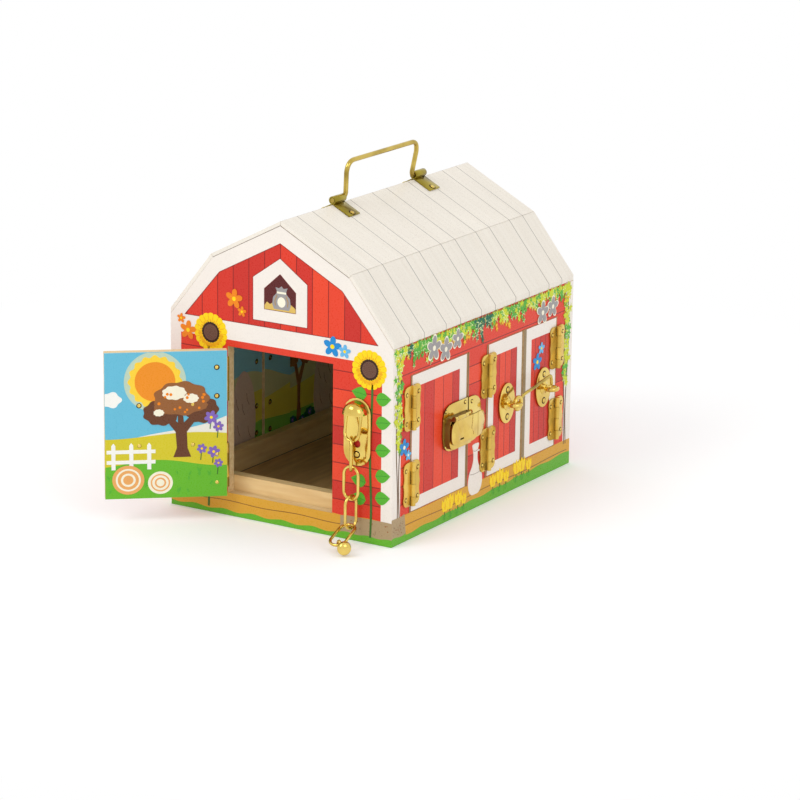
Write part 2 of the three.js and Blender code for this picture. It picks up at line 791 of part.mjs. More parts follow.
function makeChain() {
  // The first link leans out from under the hood, so that the next one clears the plate
  const lean = Math.asin((chainDepth - hoodLinkDepth) / linkPitch);
  let y = chainPlateY + chainPegRise + chainPegRadius + linkClearance + linkWireRadius;
  linkTurns.forEach((turn, i) => {
    const link = piece(`chain_link_${i + 1}`, linkSolid(), brass);
    link.position.set(chainX, y, i === 0 ? hoodLinkDepth : chainDepth);
    link.rotation.set(i === 0 ? -lean : 0, radians(turn), 0);
    frontFace.add(link);
    y -= i === 0 ? linkPitch * Math.cos(lean) : linkPitch;
  });

  // The last link slopes down to the knob, which lies on the ground in front of the wall
  const reach = linkLength - 2 * linkWireRadius;
  const slope = Math.asin(Math.min((y - knobRadius - seatGap) / reach, 1));
  const last = new THREE.Group();
  last.position.set(chainX, y, chainDepth);
  last.rotation.y = radians(-lastLinkHeading);
  const link = piece('chain_link_5', linkSolid(), brass);
  link.rotation.x = slope - Math.PI / 2;
  last.add(link);
  frontFace.add(last);
  makeKnob(last, slope);
}

// The knob's ring is threaded on the side of the last bend
function makeKnob(holder, slope) {
  const headStart = knobRingRadius + knobRingWire + knobNeckLength;
  const neck = rod(knobNeckRadius, headStart - knobRingRadius + knobNeckRadius, roundSides / 2)
    .rotateZ(Math.PI / 2).translate((knobRingRadius + headStart + knobNeckRadius) / 2, 0, 0);
  const turned = new THREE.LatheGeometry(
    knobShares.map(([r, t]) => new THREE.Vector2(r * knobRadius, t * knobThickness)),
    roundSides,
  ).rotateZ(-Math.PI / 2).translate(headStart, 0, 0);
  const loop = solidOf(ring(knobRingRadius, knobRingWire, ringSteps));
  const solid = loop.add(solidOf(neck)).add(solidOf(turned));
  const knob = piece('chain_knob', solid, brass);
  const seat = radians(knobSeatAngle);
  const along = linkArc + 2 * linkStraight + linkArc * Math.cos(seat);
  knob.position.set(linkArc * Math.sin(seat), -along * Math.sin(slope), along * Math.cos(slope));
  knob.rotation.y = radians(knobHeading) - Math.PI / 2;
  holder.add(knob);
}

function makeTrack(group) {
  const lift = faceOfDoor + seatGap;
  const back = plate(
    roundedBox(-trackPlateWidth / 2, trackPlateWidth / 2, -trackPlateHeight / 2, trackPlateHeight / 2,
      trackRailDepth, trackRailDepth),
    lift,
    lift + trackPlateThickness,
  );
  const top = lift + trackPlateThickness + trackRailDepth;
  const x = trackRailWidth / 2;
  const y = trackRailHeight / 2;
  const rail = block([-x, x], [-y, y], [lift, top]);
  const hollow = block(
    [-x + trackRailWall, x - trackRailWall],
    [-y + trackRailWall, y - trackRailWall],
    [lift + trackPlateThickness, top - trackRailWall],
  );
  const slot = block(
    [-x + trackRailHeight / 2, x - trackRailHeight / 2],
    [-trackSlotHeight / 2, trackSlotHeight / 2],
    [top - 2 * trackRailWall, top + overrun],
  );
  const keyhole = rodAlongZ(knobRadius + runningGap, top - 2 * trackRailWall, top + overrun, roundSides)
    .translate([x - trackRailHeight / 2, 0, 0]);
  const mesh = piece('chain_track', back.add(rail).subtract(hollow).subtract(slot).subtract(keyhole), brass);
  mesh.position.set((doorwayWidth - doorGap) / 2, frontDoorMiddle, 0);
  group.add(mesh);
}

// Barrel bolt: two loops on a plate on the door, a sliding bolt, and a keeper on the wall
function boltLoop(start, length, lift) {
  const outer = boltRadius + runningGap + boltLoopWall;
  const hump = rodAlongX(outer, start, start + length, knuckleSides).translate([0, 0, lift + boltStandoff]);
  const foot = block([start, start + length], [-outer, outer], [lift, lift + boltStandoff]);
  return hump.add(foot);
}

function boltBore(from, to, lift) {
  return rodAlongX(boltRadius + runningGap, from, to, knuckleSides).translate([0, 0, lift + boltStandoff]);
}

function makeBolt(group) {
  const lift = faceOfDoor + seatGap;
  const axisY = sideDoorMiddle - boltAxisDrop;
  const edge = singleDoorSpan - singleFreeGap / 2 - boltLoopInset;
  const start = edge - boltPlateLength;
  const back = block(
    [start, edge],
    [-boltPlateHeight / 2, boltPlateHeight / 2],
    [lift, lift + boltPlateThickness],
  );
  const guide = back
    .add(boltLoop(start + boltLoopInset, boltLoopLength, lift))
    .add(boltLoop(edge - boltLoopInset - boltLoopLength, boltLoopLength, lift))
    .subtract(boltBore(start - overrun, edge + overrun, lift));
  const guideMesh = piece('bolt_guide', guide, brass);
  guideMesh.position.y = axisY;
  group.add(guideMesh);

  // At rest the bolt is drawn back, with its knob against the rear loop
  const knobX = start + boltLoopInset + boltLoopLength + runningGap + boltKnobRadius;
  const bar = rodAlongX(boltRadius, edge - boltLength, edge, knuckleSides);
  const grip = solidOf(rod(boltKnobRadius, boltKnobReach, knuckleSides).rotateX(Math.PI / 2)
    .translate(knobX, 0, boltKnobReach / 2));
  const bolt = piece('door_bolt', bar.add(grip), brass);
  bolt.position.set(0, axisY, lift + boltStandoff);
  group.add(bolt);

  const keeperStart = -leftRearFreeLine + singleFreeGap / 2 + keeperSetback;
  const keeperPlate = block(
    [keeperStart, keeperStart + keeperLength],
    [-boltPlateHeight / 2, boltPlateHeight / 2],
    [seatGap, seatGap + boltPlateThickness],
  );
  const keeper = keeperPlate
    .add(boltLoop(keeperStart + boltLoopInset, boltLoopLength, seatGap))
    .subtract(boltBore(keeperStart - overrun, keeperStart + keeperLength + overrun, seatGap));
  const keeperMesh = piece('bolt_keeper', keeper, brass);
  keeperMesh.position.y = axisY;
  leftFace.add(keeperMesh);
}

// Turn button: upright it frees the front door of the left wall, level it holds that door shut
function makeButton() {
  const lift = seatGap + buttonHubHeight;
  const bar = plate(stadium(buttonWidth, buttonLength), lift, lift + buttonThickness);
  const hub = rodAlongZ(buttonHubRadius, seatGap, lift + buttonThickness / 2, roundSides);
  const button = piece('turn_button', bar.add(hub), brass);
  button.position.set(-leftFrontFreeLine + buttonSetback, sideDoorMiddle, 0);
  leftFace.add(button);
}

makeBase();
makeGableWalls();
makeSideWalls();
makeRoof();
makeHandle();

const frontDoor = makeDoor(
  'front_door', frontFace, frontHingeLine, 1,
  frontFreeLine - frontHingeLine, frontSill, frontHeader, frontDoorOpenAngle,
);
const singleDoor = makeDoor(
  'single_door', rightFace, singleHingeLine, 1,
  singleDoorSpan - singleFreeGap / 2, sideSill, sideHeader, 0,
);
const frontLeaf = makeDoor(
  'double_door_front', rightFace, doubleFrontLine, 1,
  leafSpan - meetingGap / 2, sideSill, sideHeader, 0,
);
const rearLeaf = makeDoor(
  'double_door_rear', rightFace, doubleRearLine, -1,
  leafSpan - meetingGap / 2, sideSill, sideHeader, 0,
);
makeDoor(
  'far_door_front', leftFace, -leftFrontHingeLine, 1,
  singleDoorSpan - singleFreeGap / 2, sideSill, sideHeader, 0,
);
const farRear = makeDoor(
  'far_door_rear', leftFace, -leftRearHingeLine, 1,
  singleDoorSpan - singleFreeGap / 2, sideSill, sideHeader, 0,
);
makeBoxLatch(singleDoor);
makeHook(frontLeaf, rearLeaf);
makeChainPlate();
makeChain();
makeTrack(frontDoor);
makeBolt(farRear);
makeButton();

export default barn;
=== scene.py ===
import json
import math
import random

import bmesh
import bpy
from mathutils import Euler, Matrix, Vector
from mathutils.geometry import tessellate_polygon


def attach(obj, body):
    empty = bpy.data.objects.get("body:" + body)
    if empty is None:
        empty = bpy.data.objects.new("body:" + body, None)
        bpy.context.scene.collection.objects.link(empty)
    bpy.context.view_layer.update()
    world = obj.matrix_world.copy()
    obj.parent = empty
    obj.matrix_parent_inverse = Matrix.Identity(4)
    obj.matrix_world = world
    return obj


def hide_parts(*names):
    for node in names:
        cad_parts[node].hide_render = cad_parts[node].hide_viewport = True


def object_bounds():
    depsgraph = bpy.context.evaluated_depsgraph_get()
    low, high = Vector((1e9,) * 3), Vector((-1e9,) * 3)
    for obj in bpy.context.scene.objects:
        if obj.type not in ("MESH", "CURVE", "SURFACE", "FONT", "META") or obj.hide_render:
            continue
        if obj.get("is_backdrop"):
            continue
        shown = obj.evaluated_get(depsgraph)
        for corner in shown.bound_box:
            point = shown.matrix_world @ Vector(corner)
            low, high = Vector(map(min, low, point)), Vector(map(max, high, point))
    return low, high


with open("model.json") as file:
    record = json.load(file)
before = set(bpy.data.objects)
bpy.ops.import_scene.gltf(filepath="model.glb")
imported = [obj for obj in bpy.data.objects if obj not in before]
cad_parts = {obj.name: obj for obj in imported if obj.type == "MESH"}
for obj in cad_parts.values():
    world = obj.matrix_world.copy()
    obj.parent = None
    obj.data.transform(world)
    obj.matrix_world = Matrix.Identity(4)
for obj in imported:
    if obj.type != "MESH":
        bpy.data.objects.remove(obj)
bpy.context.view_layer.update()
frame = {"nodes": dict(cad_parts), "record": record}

mm = 0.001
print("frame loaded:", len(frame["nodes"]), "nodes")

# The house in millimetres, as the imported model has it
house = {
    "halfWidth": 111, "halfLength": 150.5, "eave": 168.2, "breakX": 67.4, "breakZ": 222.9,
    "ridge": 258, "wall": 9, "door": 7, "pin": 2.5, "leafRivet": 9.2, "rivetSpan": 12.4,
    "hingeUpper": 140.7, "hingeLower": 25.5, "sideMiddle": 82.15, "frontMiddle": 84.1,
    "doorway": 105.2, "doorGap": 0.6,
}
barnLength = 2 * house["halfLength"]


# Places: a matrix that takes millimetres in a piece's own frame to metres in the row frame
def spin(x, y, z):
    return Euler([math.radians(a) for a in (x, y, z)], "XYZ").to_matrix().to_4x4()


def placeAt(x, y, z, turn=(0, 0, 0)):
    return Matrix.Translation(Vector((x, y, z)) * mm) @ spin(*turn) @ Matrix.Scale(mm, 4)


def shift(x, y, z):
    return Matrix.Translation(Vector((x, y, z)))


frontFace = placeAt(0, -house["halfLength"], 0, (90, 0, 0))
backFace = placeAt(0, house["halfLength"], 0, (90, 0, 180))
rightFace = placeAt(house["halfWidth"], -house["halfLength"], 0, (90, 0, 90))
leftFace = placeAt(-house["halfWidth"], -house["halfLength"], 0, (90, 0, -90))

# Doors: the wall they hang in, the hinge line across it, the hand, the foot of the door, the angle at rest
# and the height of the board above the opening
sideDoor = {"low": 23.6, "open": 0, "header": 26.9}
doors = {
    "front_door": {"wall": frontFace, "line": -52, "hand": 1, "low": 20.5, "open": 140, "header": 19.9},
    "single_door": {"wall": rightFace, "line": 29.1, "hand": 1, **sideDoor},
    "double_door_front": {"wall": rightFace, "line": 153.6, "hand": 1, **sideDoor},
    "double_door_rear": {"wall": rightFace, "line": 272.6, "hand": -1, **sideDoor},
    "far_door_front": {"wall": leftFace, "line": -128.2, "hand": 1, **sideDoor},
    "far_door_rear": {"wall": leftFace, "line": -259.8, "hand": 1, **sideDoor},
}
for door in doors.values():
    pin = door["wall"] @ shift(door["line"], 0, house["pin"]) @ spin(0, -door["hand"] * door["open"], 0)
    door["pin"] = pin
    door["outer"] = pin @ shift(0, 0, -house["pin"])
    door["inner"] = pin @ shift(0, 0, -house["pin"] - house["door"]) @ spin(0, 180, 0)
    low = door["low"] - house["doorGap"]
    door["hinges"] = (low + house["hingeLower"], house["hingeUpper"] - door["header"])


# Node helpers
def addNode(tree, kind, values=None, **settings):
    node = tree.nodes.new(kind)
    for key, value in settings.items():
        setattr(node, key, value)
    for key, value in (values or {}).items():
        if isinstance(value, bpy.types.NodeSocket):
            tree.links.new(value, node.inputs[key])
        else:
            node.inputs[key].default_value = value
    return node


def calc(tree, operation, *values):
    return addNode(tree, "ShaderNodeMath", dict(enumerate(values)), operation=operation).outputs[0]


def mixColour(tree, factor, a, b):
    return addNode(tree, "ShaderNodeMix", {0: factor, 6: a, 7: b}, data_type="RGBA").outputs[2]


def ramp(tree, value, low, high, out0=0.0, out1=1.0):
    values = {0: value, 1: low, 2: high, 3: out0, 4: out1}
    return addNode(tree, "ShaderNodeMapRange", values).outputs[0]


def ink(r, g, b):
    def linear(c):
        c /= 255
        return c / 12.92 if c <= 0.04045 else ((c + 0.055) / 1.055) ** 2.4
    return (linear(r), linear(g), linear(b), 1)


def newGroup(name, inputs, outputs):
    tree = bpy.data.node_groups.new(name, "ShaderNodeTree")
    for label, kind, value in inputs:
        socket = tree.interface.new_socket(name=label, in_out="INPUT", socket_type="NodeSocket" + kind)
        socket.default_value = value
    for label, kind in outputs:
        tree.interface.new_socket(name=label, in_out="OUTPUT", socket_type="NodeSocket" + kind)
    return tree, tree.nodes.new("NodeGroupInput").outputs, tree.nodes.new("NodeGroupOutput").inputs


# How fine each noise is, per metre, and how far a print's gloss swings
noise = {"broad": 28.0, "fine": 900.0, "wood": 6.0, "metal": 700.0, "paper": 400.0, "glossSwing": 0.06}


# Shader group: a board's own coordinates in millimetres, and which way a face looks
def makeBoardFrame():
    tree, given, result = newGroup(
        "boardFrame",
        [("Origin", "Vector", (0, 0, 0)), ("Right", "Vector", (1, 0, 0)),
         ("Up", "Vector", (0, 0, 1)), ("Out", "Vector", (0, -1, 0))],
        [("Across", "Float"), ("Height", "Float"), ("Facing", "Float")],
    )
    coords = addNode(tree, "ShaderNodeTexCoord")
    local = addNode(tree, "ShaderNodeVectorMath",
                    {0: coords.outputs["Object"], 1: given["Origin"]}, operation="SUBTRACT").outputs[0]
    for label, axis, source in (("Across", "Right", local), ("Height", "Up", local),
                                ("Facing", "Out", coords.outputs["Normal"])):
        dot = addNode(tree, "ShaderNodeVectorMath", {0: source, 1: given[axis]}, operation="DOT_PRODUCT")
        scale = 1 if label == "Facing" else 1 / mm
        tree.links.new(calc(tree, "MULTIPLY", dot.outputs["Value"], scale), result[label])
    return tree


# Shader group: plank lines at an even spacing, and a tint for each plank
def makePlankLines():
    tree, given, result = newGroup(
        "plankLines",
        [("Position", "Float", 0.0), ("Spacing", "Float", 15.8), ("Offset", "Float", 0.0),
         ("Width", "Float", 0.8)],
        [("Line", "Float"), ("Tint", "Float")],
    )
    count = calc(tree, "DIVIDE", calc(tree, "SUBTRACT", given["Position"], given["Offset"]), given["Spacing"])
    part = calc(tree, "FRACT", count)
    near = calc(tree, "MINIMUM", part, calc(tree, "SUBTRACT", 1.0, part))
    distance = calc(tree, "MULTIPLY", near, given["Spacing"])
    half = calc(tree, "MULTIPLY", given["Width"], 0.5)
    soft = 0.15
    line = ramp(tree, distance, calc(tree, "ADD", half, soft), calc(tree, "SUBTRACT", half, soft))
    tint = addNode(tree, "ShaderNodeTexWhiteNoise", {"W": calc(tree, "FLOOR", count)}, noise_dimensions="1D")
    tree.links.new(line, result["Line"])
    tree.links.new(tint.outputs["Value"], result["Tint"])
    return tree


# Shader group: the faint mottle of a print, as a shade, a gloss and a height
def makePrintMottle():
    tree, given, result = newGroup(
        "printMottle",
        [("Colour", "Color", (1, 1, 1, 1)), ("Amount", "Float", 0.08), ("Gloss", "Float", 0.42)],
        [("Colour", "Color"), ("Roughness", "Float"), ("Height", "Float")],
    )
    coords = addNode(tree, "ShaderNodeTexCoord").outputs["Object"]
    broad = addNode(tree, "ShaderNodeTexNoise", {"Vector": coords, "Scale": noise["broad"], "Detail": 3.0})
    fine = addNode(tree, "ShaderNodeTexNoise", {"Vector": coords, "Scale": noise["fine"], "Detail": 2.0})
    both = calc(tree, "ADD", broad.outputs[0], calc(tree, "MULTIPLY", fine.outputs[0], 0.5))
    spread = calc(tree, "SUBTRACT", both, 0.75)
    shade = calc(tree, "ADD", 1.0, calc(tree, "MULTIPLY", spread, given["Amount"]))
    value = addNode(tree, "ShaderNodeHueSaturation", {"Color": given["Colour"], "Value": shade})
    tree.links.new(value.outputs[0], result["Colour"])
    tree.links.new(ramp(tree, fine.outputs[0], 0.3, 0.7,
                        calc(tree, "SUBTRACT", given["Gloss"], noise["glossSwing"]),
                        calc(tree, "ADD", given["Gloss"], noise["glossSwing"])), result["Roughness"])
    tree.links.new(fine.outputs[0], result["Height"])
    return tree


# Shader group: pale wood with grain along one direction
def makeWoodGrain():
    tree, given, result = newGroup(
        "woodGrain",
        [("Stretch", "Vector", (4, 60, 60)), ("Light", "Color", ink(238, 211, 164)),
         ("Dark", "Color", ink(218, 184, 132))],
        [("Colour", "Color"), ("Height", "Float")],
    )
    coords = addNode(tree, "ShaderNodeTexCoord").outputs["Object"]
    place = addNode(tree, "ShaderNodeVectorMath", {0: coords, 1: given["Stretch"]}, operation="MULTIPLY")
    grain = addNode(tree, "ShaderNodeTexNoise",
                    {"Vector": place.outputs[0], "Scale": noise["wood"], "Detail": 4.0, "Distortion": 0.25})
    streak = ramp(tree, grain.outputs[0], 0.3, 0.75)
    tree.links.new(mixColour(tree, streak, given["Light"], given["Dark"]), result["Colour"])
    tree.links.new(grain.outputs[0], result["Height"])
    return tree


# Shader group: a printed landscape in bands of sky, hills and grass. A band is given by its colour, its
# height, and the pitch, swing and phase of its wavy top.
bands = (("Far", 86, 0.045, 9, 0.4), ("Middle", 70, 0.031, 5, 1.7), ("Near", 47, 0.024, 4, 3.1))


def makeLandscape():
    tree, given, result = newGroup(
        "landscape",
        [("Across", "Float", 0.0), ("Height", "Float", 0.0), ("Sky", "Color", ink(146, 206, 222)),
         ("Far", "Color", ink(206, 204, 150)), ("Middle", "Color", ink(222, 206, 72)),
         ("Near", "Color", ink(132, 194, 74))],
        [("Colour", "Color")],
    )
    colour = given["Sky"]
    for label, level, wave, swing, phase in bands:
        angle = calc(tree, "ADD", calc(tree, "MULTIPLY", given["Across"], wave), phase)
        top = calc(tree, "ADD", calc(tree, "MULTIPLY", calc(tree, "SINE", angle), swing), level)
        below = ramp(tree, calc(tree, "SUBTRACT", top, given["Height"]), -0.2, 0.2)
        colour = mixColour(tree, below, colour, given[label])
    tree.links.new(colour, result["Colour"])
    return tree


boardFrame, plankLines = makeBoardFrame(), makePlankLines()
printMottle, woodGrain, landscape = makePrintMottle(), makeWoodGrain(), makeLandscape()


def useGroup(tree, group, values):
    return addNode(tree, "ShaderNodeGroup", values, node_tree=group).outputs


def newMaterial(name):
    material = bpy.data.materials.new(name)
    material.use_nodes = True
    tree = material.node_tree
    return material, tree, tree.nodes["Principled BSDF"]


def bumpFrom(tree, shader, height, distance, strength=0.4):
    bump = addNode(tree, "ShaderNodeBump", {"Height": height, "Distance": distance, "Strength": strength})
    tree.links.new(bump.outputs[0], shader.inputs["Normal"])


def coat(tree, shader, look, bump):
    tree.links.new(look["Colour"], shader.inputs["Base Color"])
    tree.links.new(look["Roughness"], shader.inputs["Roughness"])
    bumpFrom(tree, shader, look["Height"], *bump)


def addObject(name, data):
    made = bpy.data.objects.new(name, data)
    bpy.context.scene.collection.objects.link(made)
    return made


# Paint on the boards: colours, plank spacing and line width in millimetres
boardPaint = {
    "redLight": ink(238, 76, 44), "redMiddle": ink(220, 56, 38), "redDeep": ink(202, 48, 38),
    "line": ink(138, 32, 28), "lineWidth": 0.8, "spacing": 15.78, "sidingOffset": 17.4,
    "plankOffset": 0.3, "gableFrom": 162, "gloss": 0.3, "mottle": 0.08,
    "roof": ink(240, 233, 221), "roofShade": ink(235, 227, 214), "roofLine": ink(160, 154, 146),
    "roofSpacing": 58.1, "roofOffsets": (-125.9, -102.7), "roofLineWidth": 0.8,
    "edgeLight": ink(232, 206, 160), "edgeDark": ink(208, 176, 124), "edgeGloss": 0.6, "specular": 0.25,
    "innerMottle": 0.12, "innerGloss": 0.45, "facing": 0.6, "streak": (0.25, 0.01), "grain": (4, 50),
    "bump": (0.00008, 0.35), "inkBump": (0.00006, 0.3),
}


def redPlanks(tree, position, spacing, offset):
    paint = boardPaint
    lines = useGroup(tree, plankLines, {"Position": position, "Spacing": spacing, "Offset": offset,
                                        "Width": paint["lineWidth"]})
    low = mixColour(tree, ramp(tree, lines["Tint"], 0.0, 0.5), paint["redDeep"], paint["redMiddle"])
    tone = mixColour(tree, ramp(tree, lines["Tint"], 0.5, 1.0), low, paint["redLight"])
    return mixColour(tree, lines["Line"], tone, paint["line"])


def boardMaterial(name, place, outside, inside, spacing=None, offset=0.0):
    paint = boardPaint
    material, tree, shader = newMaterial(name)
    right, up, out = (Vector(place.col[i][:3]).normalized() for i in range(3))
    own = useGroup(tree, boardFrame, {"Origin": place.translation, "Right": right, "Up": up, "Out": out})
    across, height = own["Across"], own["Height"]
    if outside == "siding":
        colour = redPlanks(tree, height, paint["spacing"], paint["sidingOffset"])
    elif outside == "gable":
        low = redPlanks(tree, height, paint["spacing"], paint["sidingOffset"])
        high = redPlanks(tree, across, paint["spacing"], paint["plankOffset"])
        above = calc(tree, "GREATER_THAN", height, paint["gableFrom"])
        colour = mixColour(tree, above, low, high)
    elif outside == "planks":
        colour = redPlanks(tree, across, spacing, offset)
    else:
        wide, tall = (calc(tree, "MULTIPLY", *pair) for pair in zip((across, height), paint["streak"]))
        place = addNode(tree, "ShaderNodeCombineXYZ", {0: wide, 1: tall}).outputs[0]
        streak = addNode(tree, "ShaderNodeTexNoise", {"Vector": place, "Scale": 1.0, "Detail": 4.0})
        colour = mixColour(tree, ramp(tree, streak.outputs[0], 0.4, 0.7), paint["roof"], paint["roofShade"])
        for start in paint["roofOffsets"]:
            lines = useGroup(tree, plankLines, {"Position": across, "Spacing": paint["roofSpacing"],
                                                "Offset": start, "Width": paint["roofLineWidth"]})
            colour = mixColour(tree, lines["Line"], colour, paint["roofLine"])
    mottled = useGroup(tree, printMottle,
                       {"Colour": colour, "Amount": paint["mottle"], "Gloss": paint["gloss"]})
    along, athwart = paint["grain"]
    wood = useGroup(tree, woodGrain, {"Stretch": tuple(along if abs(v) > 0.6 else athwart for v in right),
                                      "Light": paint["edgeLight"], "Dark": paint["edgeDark"]})
    if inside == "landscape":
        scenery = useGroup(tree, landscape, {"Across": across, "Height": height})
        innerColour = useGroup(tree, printMottle,
                               {"Colour": scenery["Colour"], "Amount": paint["innerMottle"],
                                "Gloss": paint["innerGloss"]})["Colour"]
    else:
        innerColour = wood["Colour"]
    isOuter = calc(tree, "GREATER_THAN", own["Facing"], paint["facing"])
    isInner = calc(tree, "LESS_THAN", own["Facing"], -paint["facing"])
    edge = mottled["Colour"] if outside == "roof" else wood["Colour"]
    colour = mixColour(tree, isOuter, edge, mottled["Colour"])
    colour = mixColour(tree, isInner, colour, innerColour)
    shader.inputs["Specular IOR Level"].default_value = paint["specular"]
    tree.links.new(colour, shader.inputs["Base Color"])
    roughness = ramp(tree, isOuter, 0.0, 1.0, paint["edgeGloss"], mottled["Roughness"])
    tree.links.new(roughness, shader.inputs["Roughness"])
    bumpFrom(tree, shader, ramp(tree, isOuter, 0.0, 1.0, wood["Height"], mottled["Height"]), *paint["bump"])
    return material


def dress(name, material):
    node = frame["nodes"][name]
    node.data.materials.clear()
    node.data.materials.append(material)


slope = {
    "lower": math.degrees(math.atan2(house["breakZ"] - house["eave"], house["halfWidth"] - house["breakX"])),
    "upper": math.degrees(math.atan2(house["ridge"] - house["breakZ"], house["breakX"])),
}
walls = {"front_wall": (frontFace, "gable"), "back_wall": (backFace, "gable"),
         "right_wall": (rightFace, "siding"), "left_wall": (leftFace, "siding")}
for name, (place, outside) in walls.items():
    dress(name, boardMaterial(name + "_paint", place, outside, "landscape"))
plankShares = {"front_door": (14.8, 8.0), "single_door": (15.0, 5.9), "double_door_front": (9.8, 0.2),
               "double_door_rear": (9.0, -1.5), "far_door_front": (15.0, 5.9), "far_door_rear": (15.0, 5.9)}
for name, (spacing, offset) in plankShares.items():
    dress(name, boardMaterial(name + "_paint", doors[name]["outer"], "planks", "landscape", spacing, offset))
for side, sign in (("right", 1), ("left", -1)):
    for part, angle in slope.items():
        # the board's frame: across is along the barn, out is square to the slope
        place = placeAt(0, 0, 0, (0, sign * angle, 0)) @ spin(0, 0, 90)
        dress(f"roof_{part}_{side}", boardMaterial(f"roof_{part}_{side}_paint", place, "roof", "wood"))


# Tray: the grain runs along each rail, so it turns at the two ends; the floor board is darker as painted
# shade, and a line of painted shade runs along it where it meets the side rails
tray = {"light": ink(242, 210, 152), "dark": ink(224, 184, 124), "floorLight": ink(214, 172, 112),
        "floorDark": ink(186, 142, 86), "along": (34, 4, 34), "across": (4, 34, 34), "endFrom": 0.128,
         "floorTop": 0.0131, "seam": ink(112, 78, 44), "seamFrom": 0.0909, "seamTo": 0.0923,
        "roughness": 0.5, "bump": 0.00006}


def makeTrayMaterial():
    material, tree, shader = newMaterial("tray_wood")
    tones = {"Light": tray["light"], "Dark": tray["dark"]}
    rail = useGroup(tree, woodGrain, {"Stretch": tray["along"], **tones})
    end = useGroup(tree, woodGrain, {"Stretch": tray["across"], **tones})
    floor = useGroup(tree, woodGrain, {"Stretch": tray["along"], "Light": tray["floorLight"],
                                       "Dark": tray["floorDark"]})
    coords = addNode(tree, "ShaderNodeTexCoord").outputs["Object"]
    axes = addNode(tree, "ShaderNodeSeparateXYZ", {0: coords})
    atEnd = calc(tree, "GREATER_THAN", calc(tree, "ABSOLUTE", axes.outputs["Y"]), tray["endFrom"])
    onFloor = calc(tree, "LESS_THAN", axes.outputs["Z"], tray["floorTop"])
    aside = calc(tree, "ABSOLUTE", axes.outputs["X"])
    # a line of painted shade on the floor board along the foot of each side rail
    inSeam = calc(tree, "MULTIPLY", calc(tree, "GREATER_THAN", aside, tray["seamFrom"]),
                  calc(tree, "LESS_THAN", aside, tray["seamTo"]))
    board = mixColour(tree, calc(tree, "MULTIPLY", inSeam, onFloor), floor["Colour"], tray["seam"])
    rails = mixColour(tree, atEnd, rail["Colour"], end["Colour"])
    tree.links.new(mixColour(tree, onFloor, rails, board), shader.inputs["Base Color"])
    shader.inputs["Roughness"].default_value = tray["roughness"]
    bumpFrom(tree, shader, ramp(tree, atEnd, 0.0, 1.0, rail["Height"], end["Height"]), tray["bump"])
    return material


dress("base_tray", makeTrayMaterial())


# Shader group: painted shade, with some tarnish, where two faces meet and at the feet of upright sides, and
# painted dark reflections on latch sides and rims; the mask is kept on the mesh itself
def makeShadeAndTarnish():
    tree, given, result = newGroup(
        "shadeAndTarnish",
        [("Clean", "Color", (1, 1, 1, 1)), ("WornAndReflected", "Color", (0.5, 0.5, 0.5, 1)),
         ("Dark", "Color", (0, 0, 0, 1)), ("Gloss", "Float", 0.12), ("Cloud", "Float", 55.0)],
        [("Colour", "Color"), ("Roughness", "Float"), ("Height", "Float")],
    )
    coords = addNode(tree, "ShaderNodeTexCoord").outputs["Object"]
    cloud = addNode(tree, "ShaderNodeTexNoise", {"Vector": coords, "Scale": given["Cloud"], "Detail": 4.0})
    fine = addNode(tree, "ShaderNodeTexNoise", {"Vector": coords, "Scale": noise["metal"], "Detail": 3.0})
    crevice = addNode(tree, "ShaderNodeAttribute", attribute_name="crevice").outputs["Fac"]
    body = mixColour(tree, ramp(tree, cloud.outputs[0], 0.4, 0.75), given["Clean"], given["WornAndReflected"])
    tree.links.new(mixColour(tree, crevice, body, given["Dark"]), result["Colour"])
    rough = ramp(tree, fine.outputs[0], 0.3, 0.75, given["Gloss"], calc(tree, "ADD", given["Gloss"], 0.08))
    tree.links.new(calc(tree, "ADD", rough, calc(tree, "MULTIPLY", crevice, 0.25)), result["Roughness"])
    tree.links.new(fine.outputs[0], result["Height"])
    return tree


def brassTone(clean, wornAndReflected, dark, gloss):
    return {"Clean": ink(*clean), "WornAndReflected": ink(*wornAndReflected), "Dark": ink(*dark), "Gloss": gloss}


shadeAndTarnish = makeShadeAndTarnish()
# Each tone's darker cloud stands for wear and for painted dark reflections. The bail brass, on the handle and
# the hook's bar, and the strap brass are darker all over, as painted dark reflections.
brassTones = {
    "polished_brass": brassTone((232, 205, 112), (208, 172, 82), (66, 40, 16), 0.08),
    "hinge_brass": brassTone((234, 198, 92), (214, 172, 70), (112, 76, 24), 0.2),
    "bail_brass": brassTone((206, 180, 92), (132, 108, 40), (62, 48, 14), 0.08),
    "strap_brass": brassTone((176, 158, 62), (124, 106, 32), (62, 48, 14), 0.14),
    "screw_brass": brassTone((206, 172, 86), (160, 122, 50), (54, 36, 14), 0.16),
    "screw_pale": brassTone((240, 230, 204), (220, 204, 170), (96, 78, 40), 0.2),
}
plating = {"hinge_brass": 0.6, "screw_pale": 0.4}  # how metallic a finish is, where it isn't fully so
brassBump = (0.00002, 0.12)


# Brass: a bright yellow plate with a soft cloud of wear and painted dark reflection, painted shade in its
# seams and fine scratches
def makeBrass(name):
    material, tree, shader = newMaterial(name)
    metal = useGroup(tree, shadeAndTarnish, brassTones[name])
    shader.inputs["Metallic"].default_value = plating.get(name, 1.0)
    coat(tree, shader, metal, brassBump)
    return material


brass, hingeBrass, bailBrass, strapBrass, darkerBrass, paleBrass = (makeBrass(name) for name in brassTones)
print("boards painted")

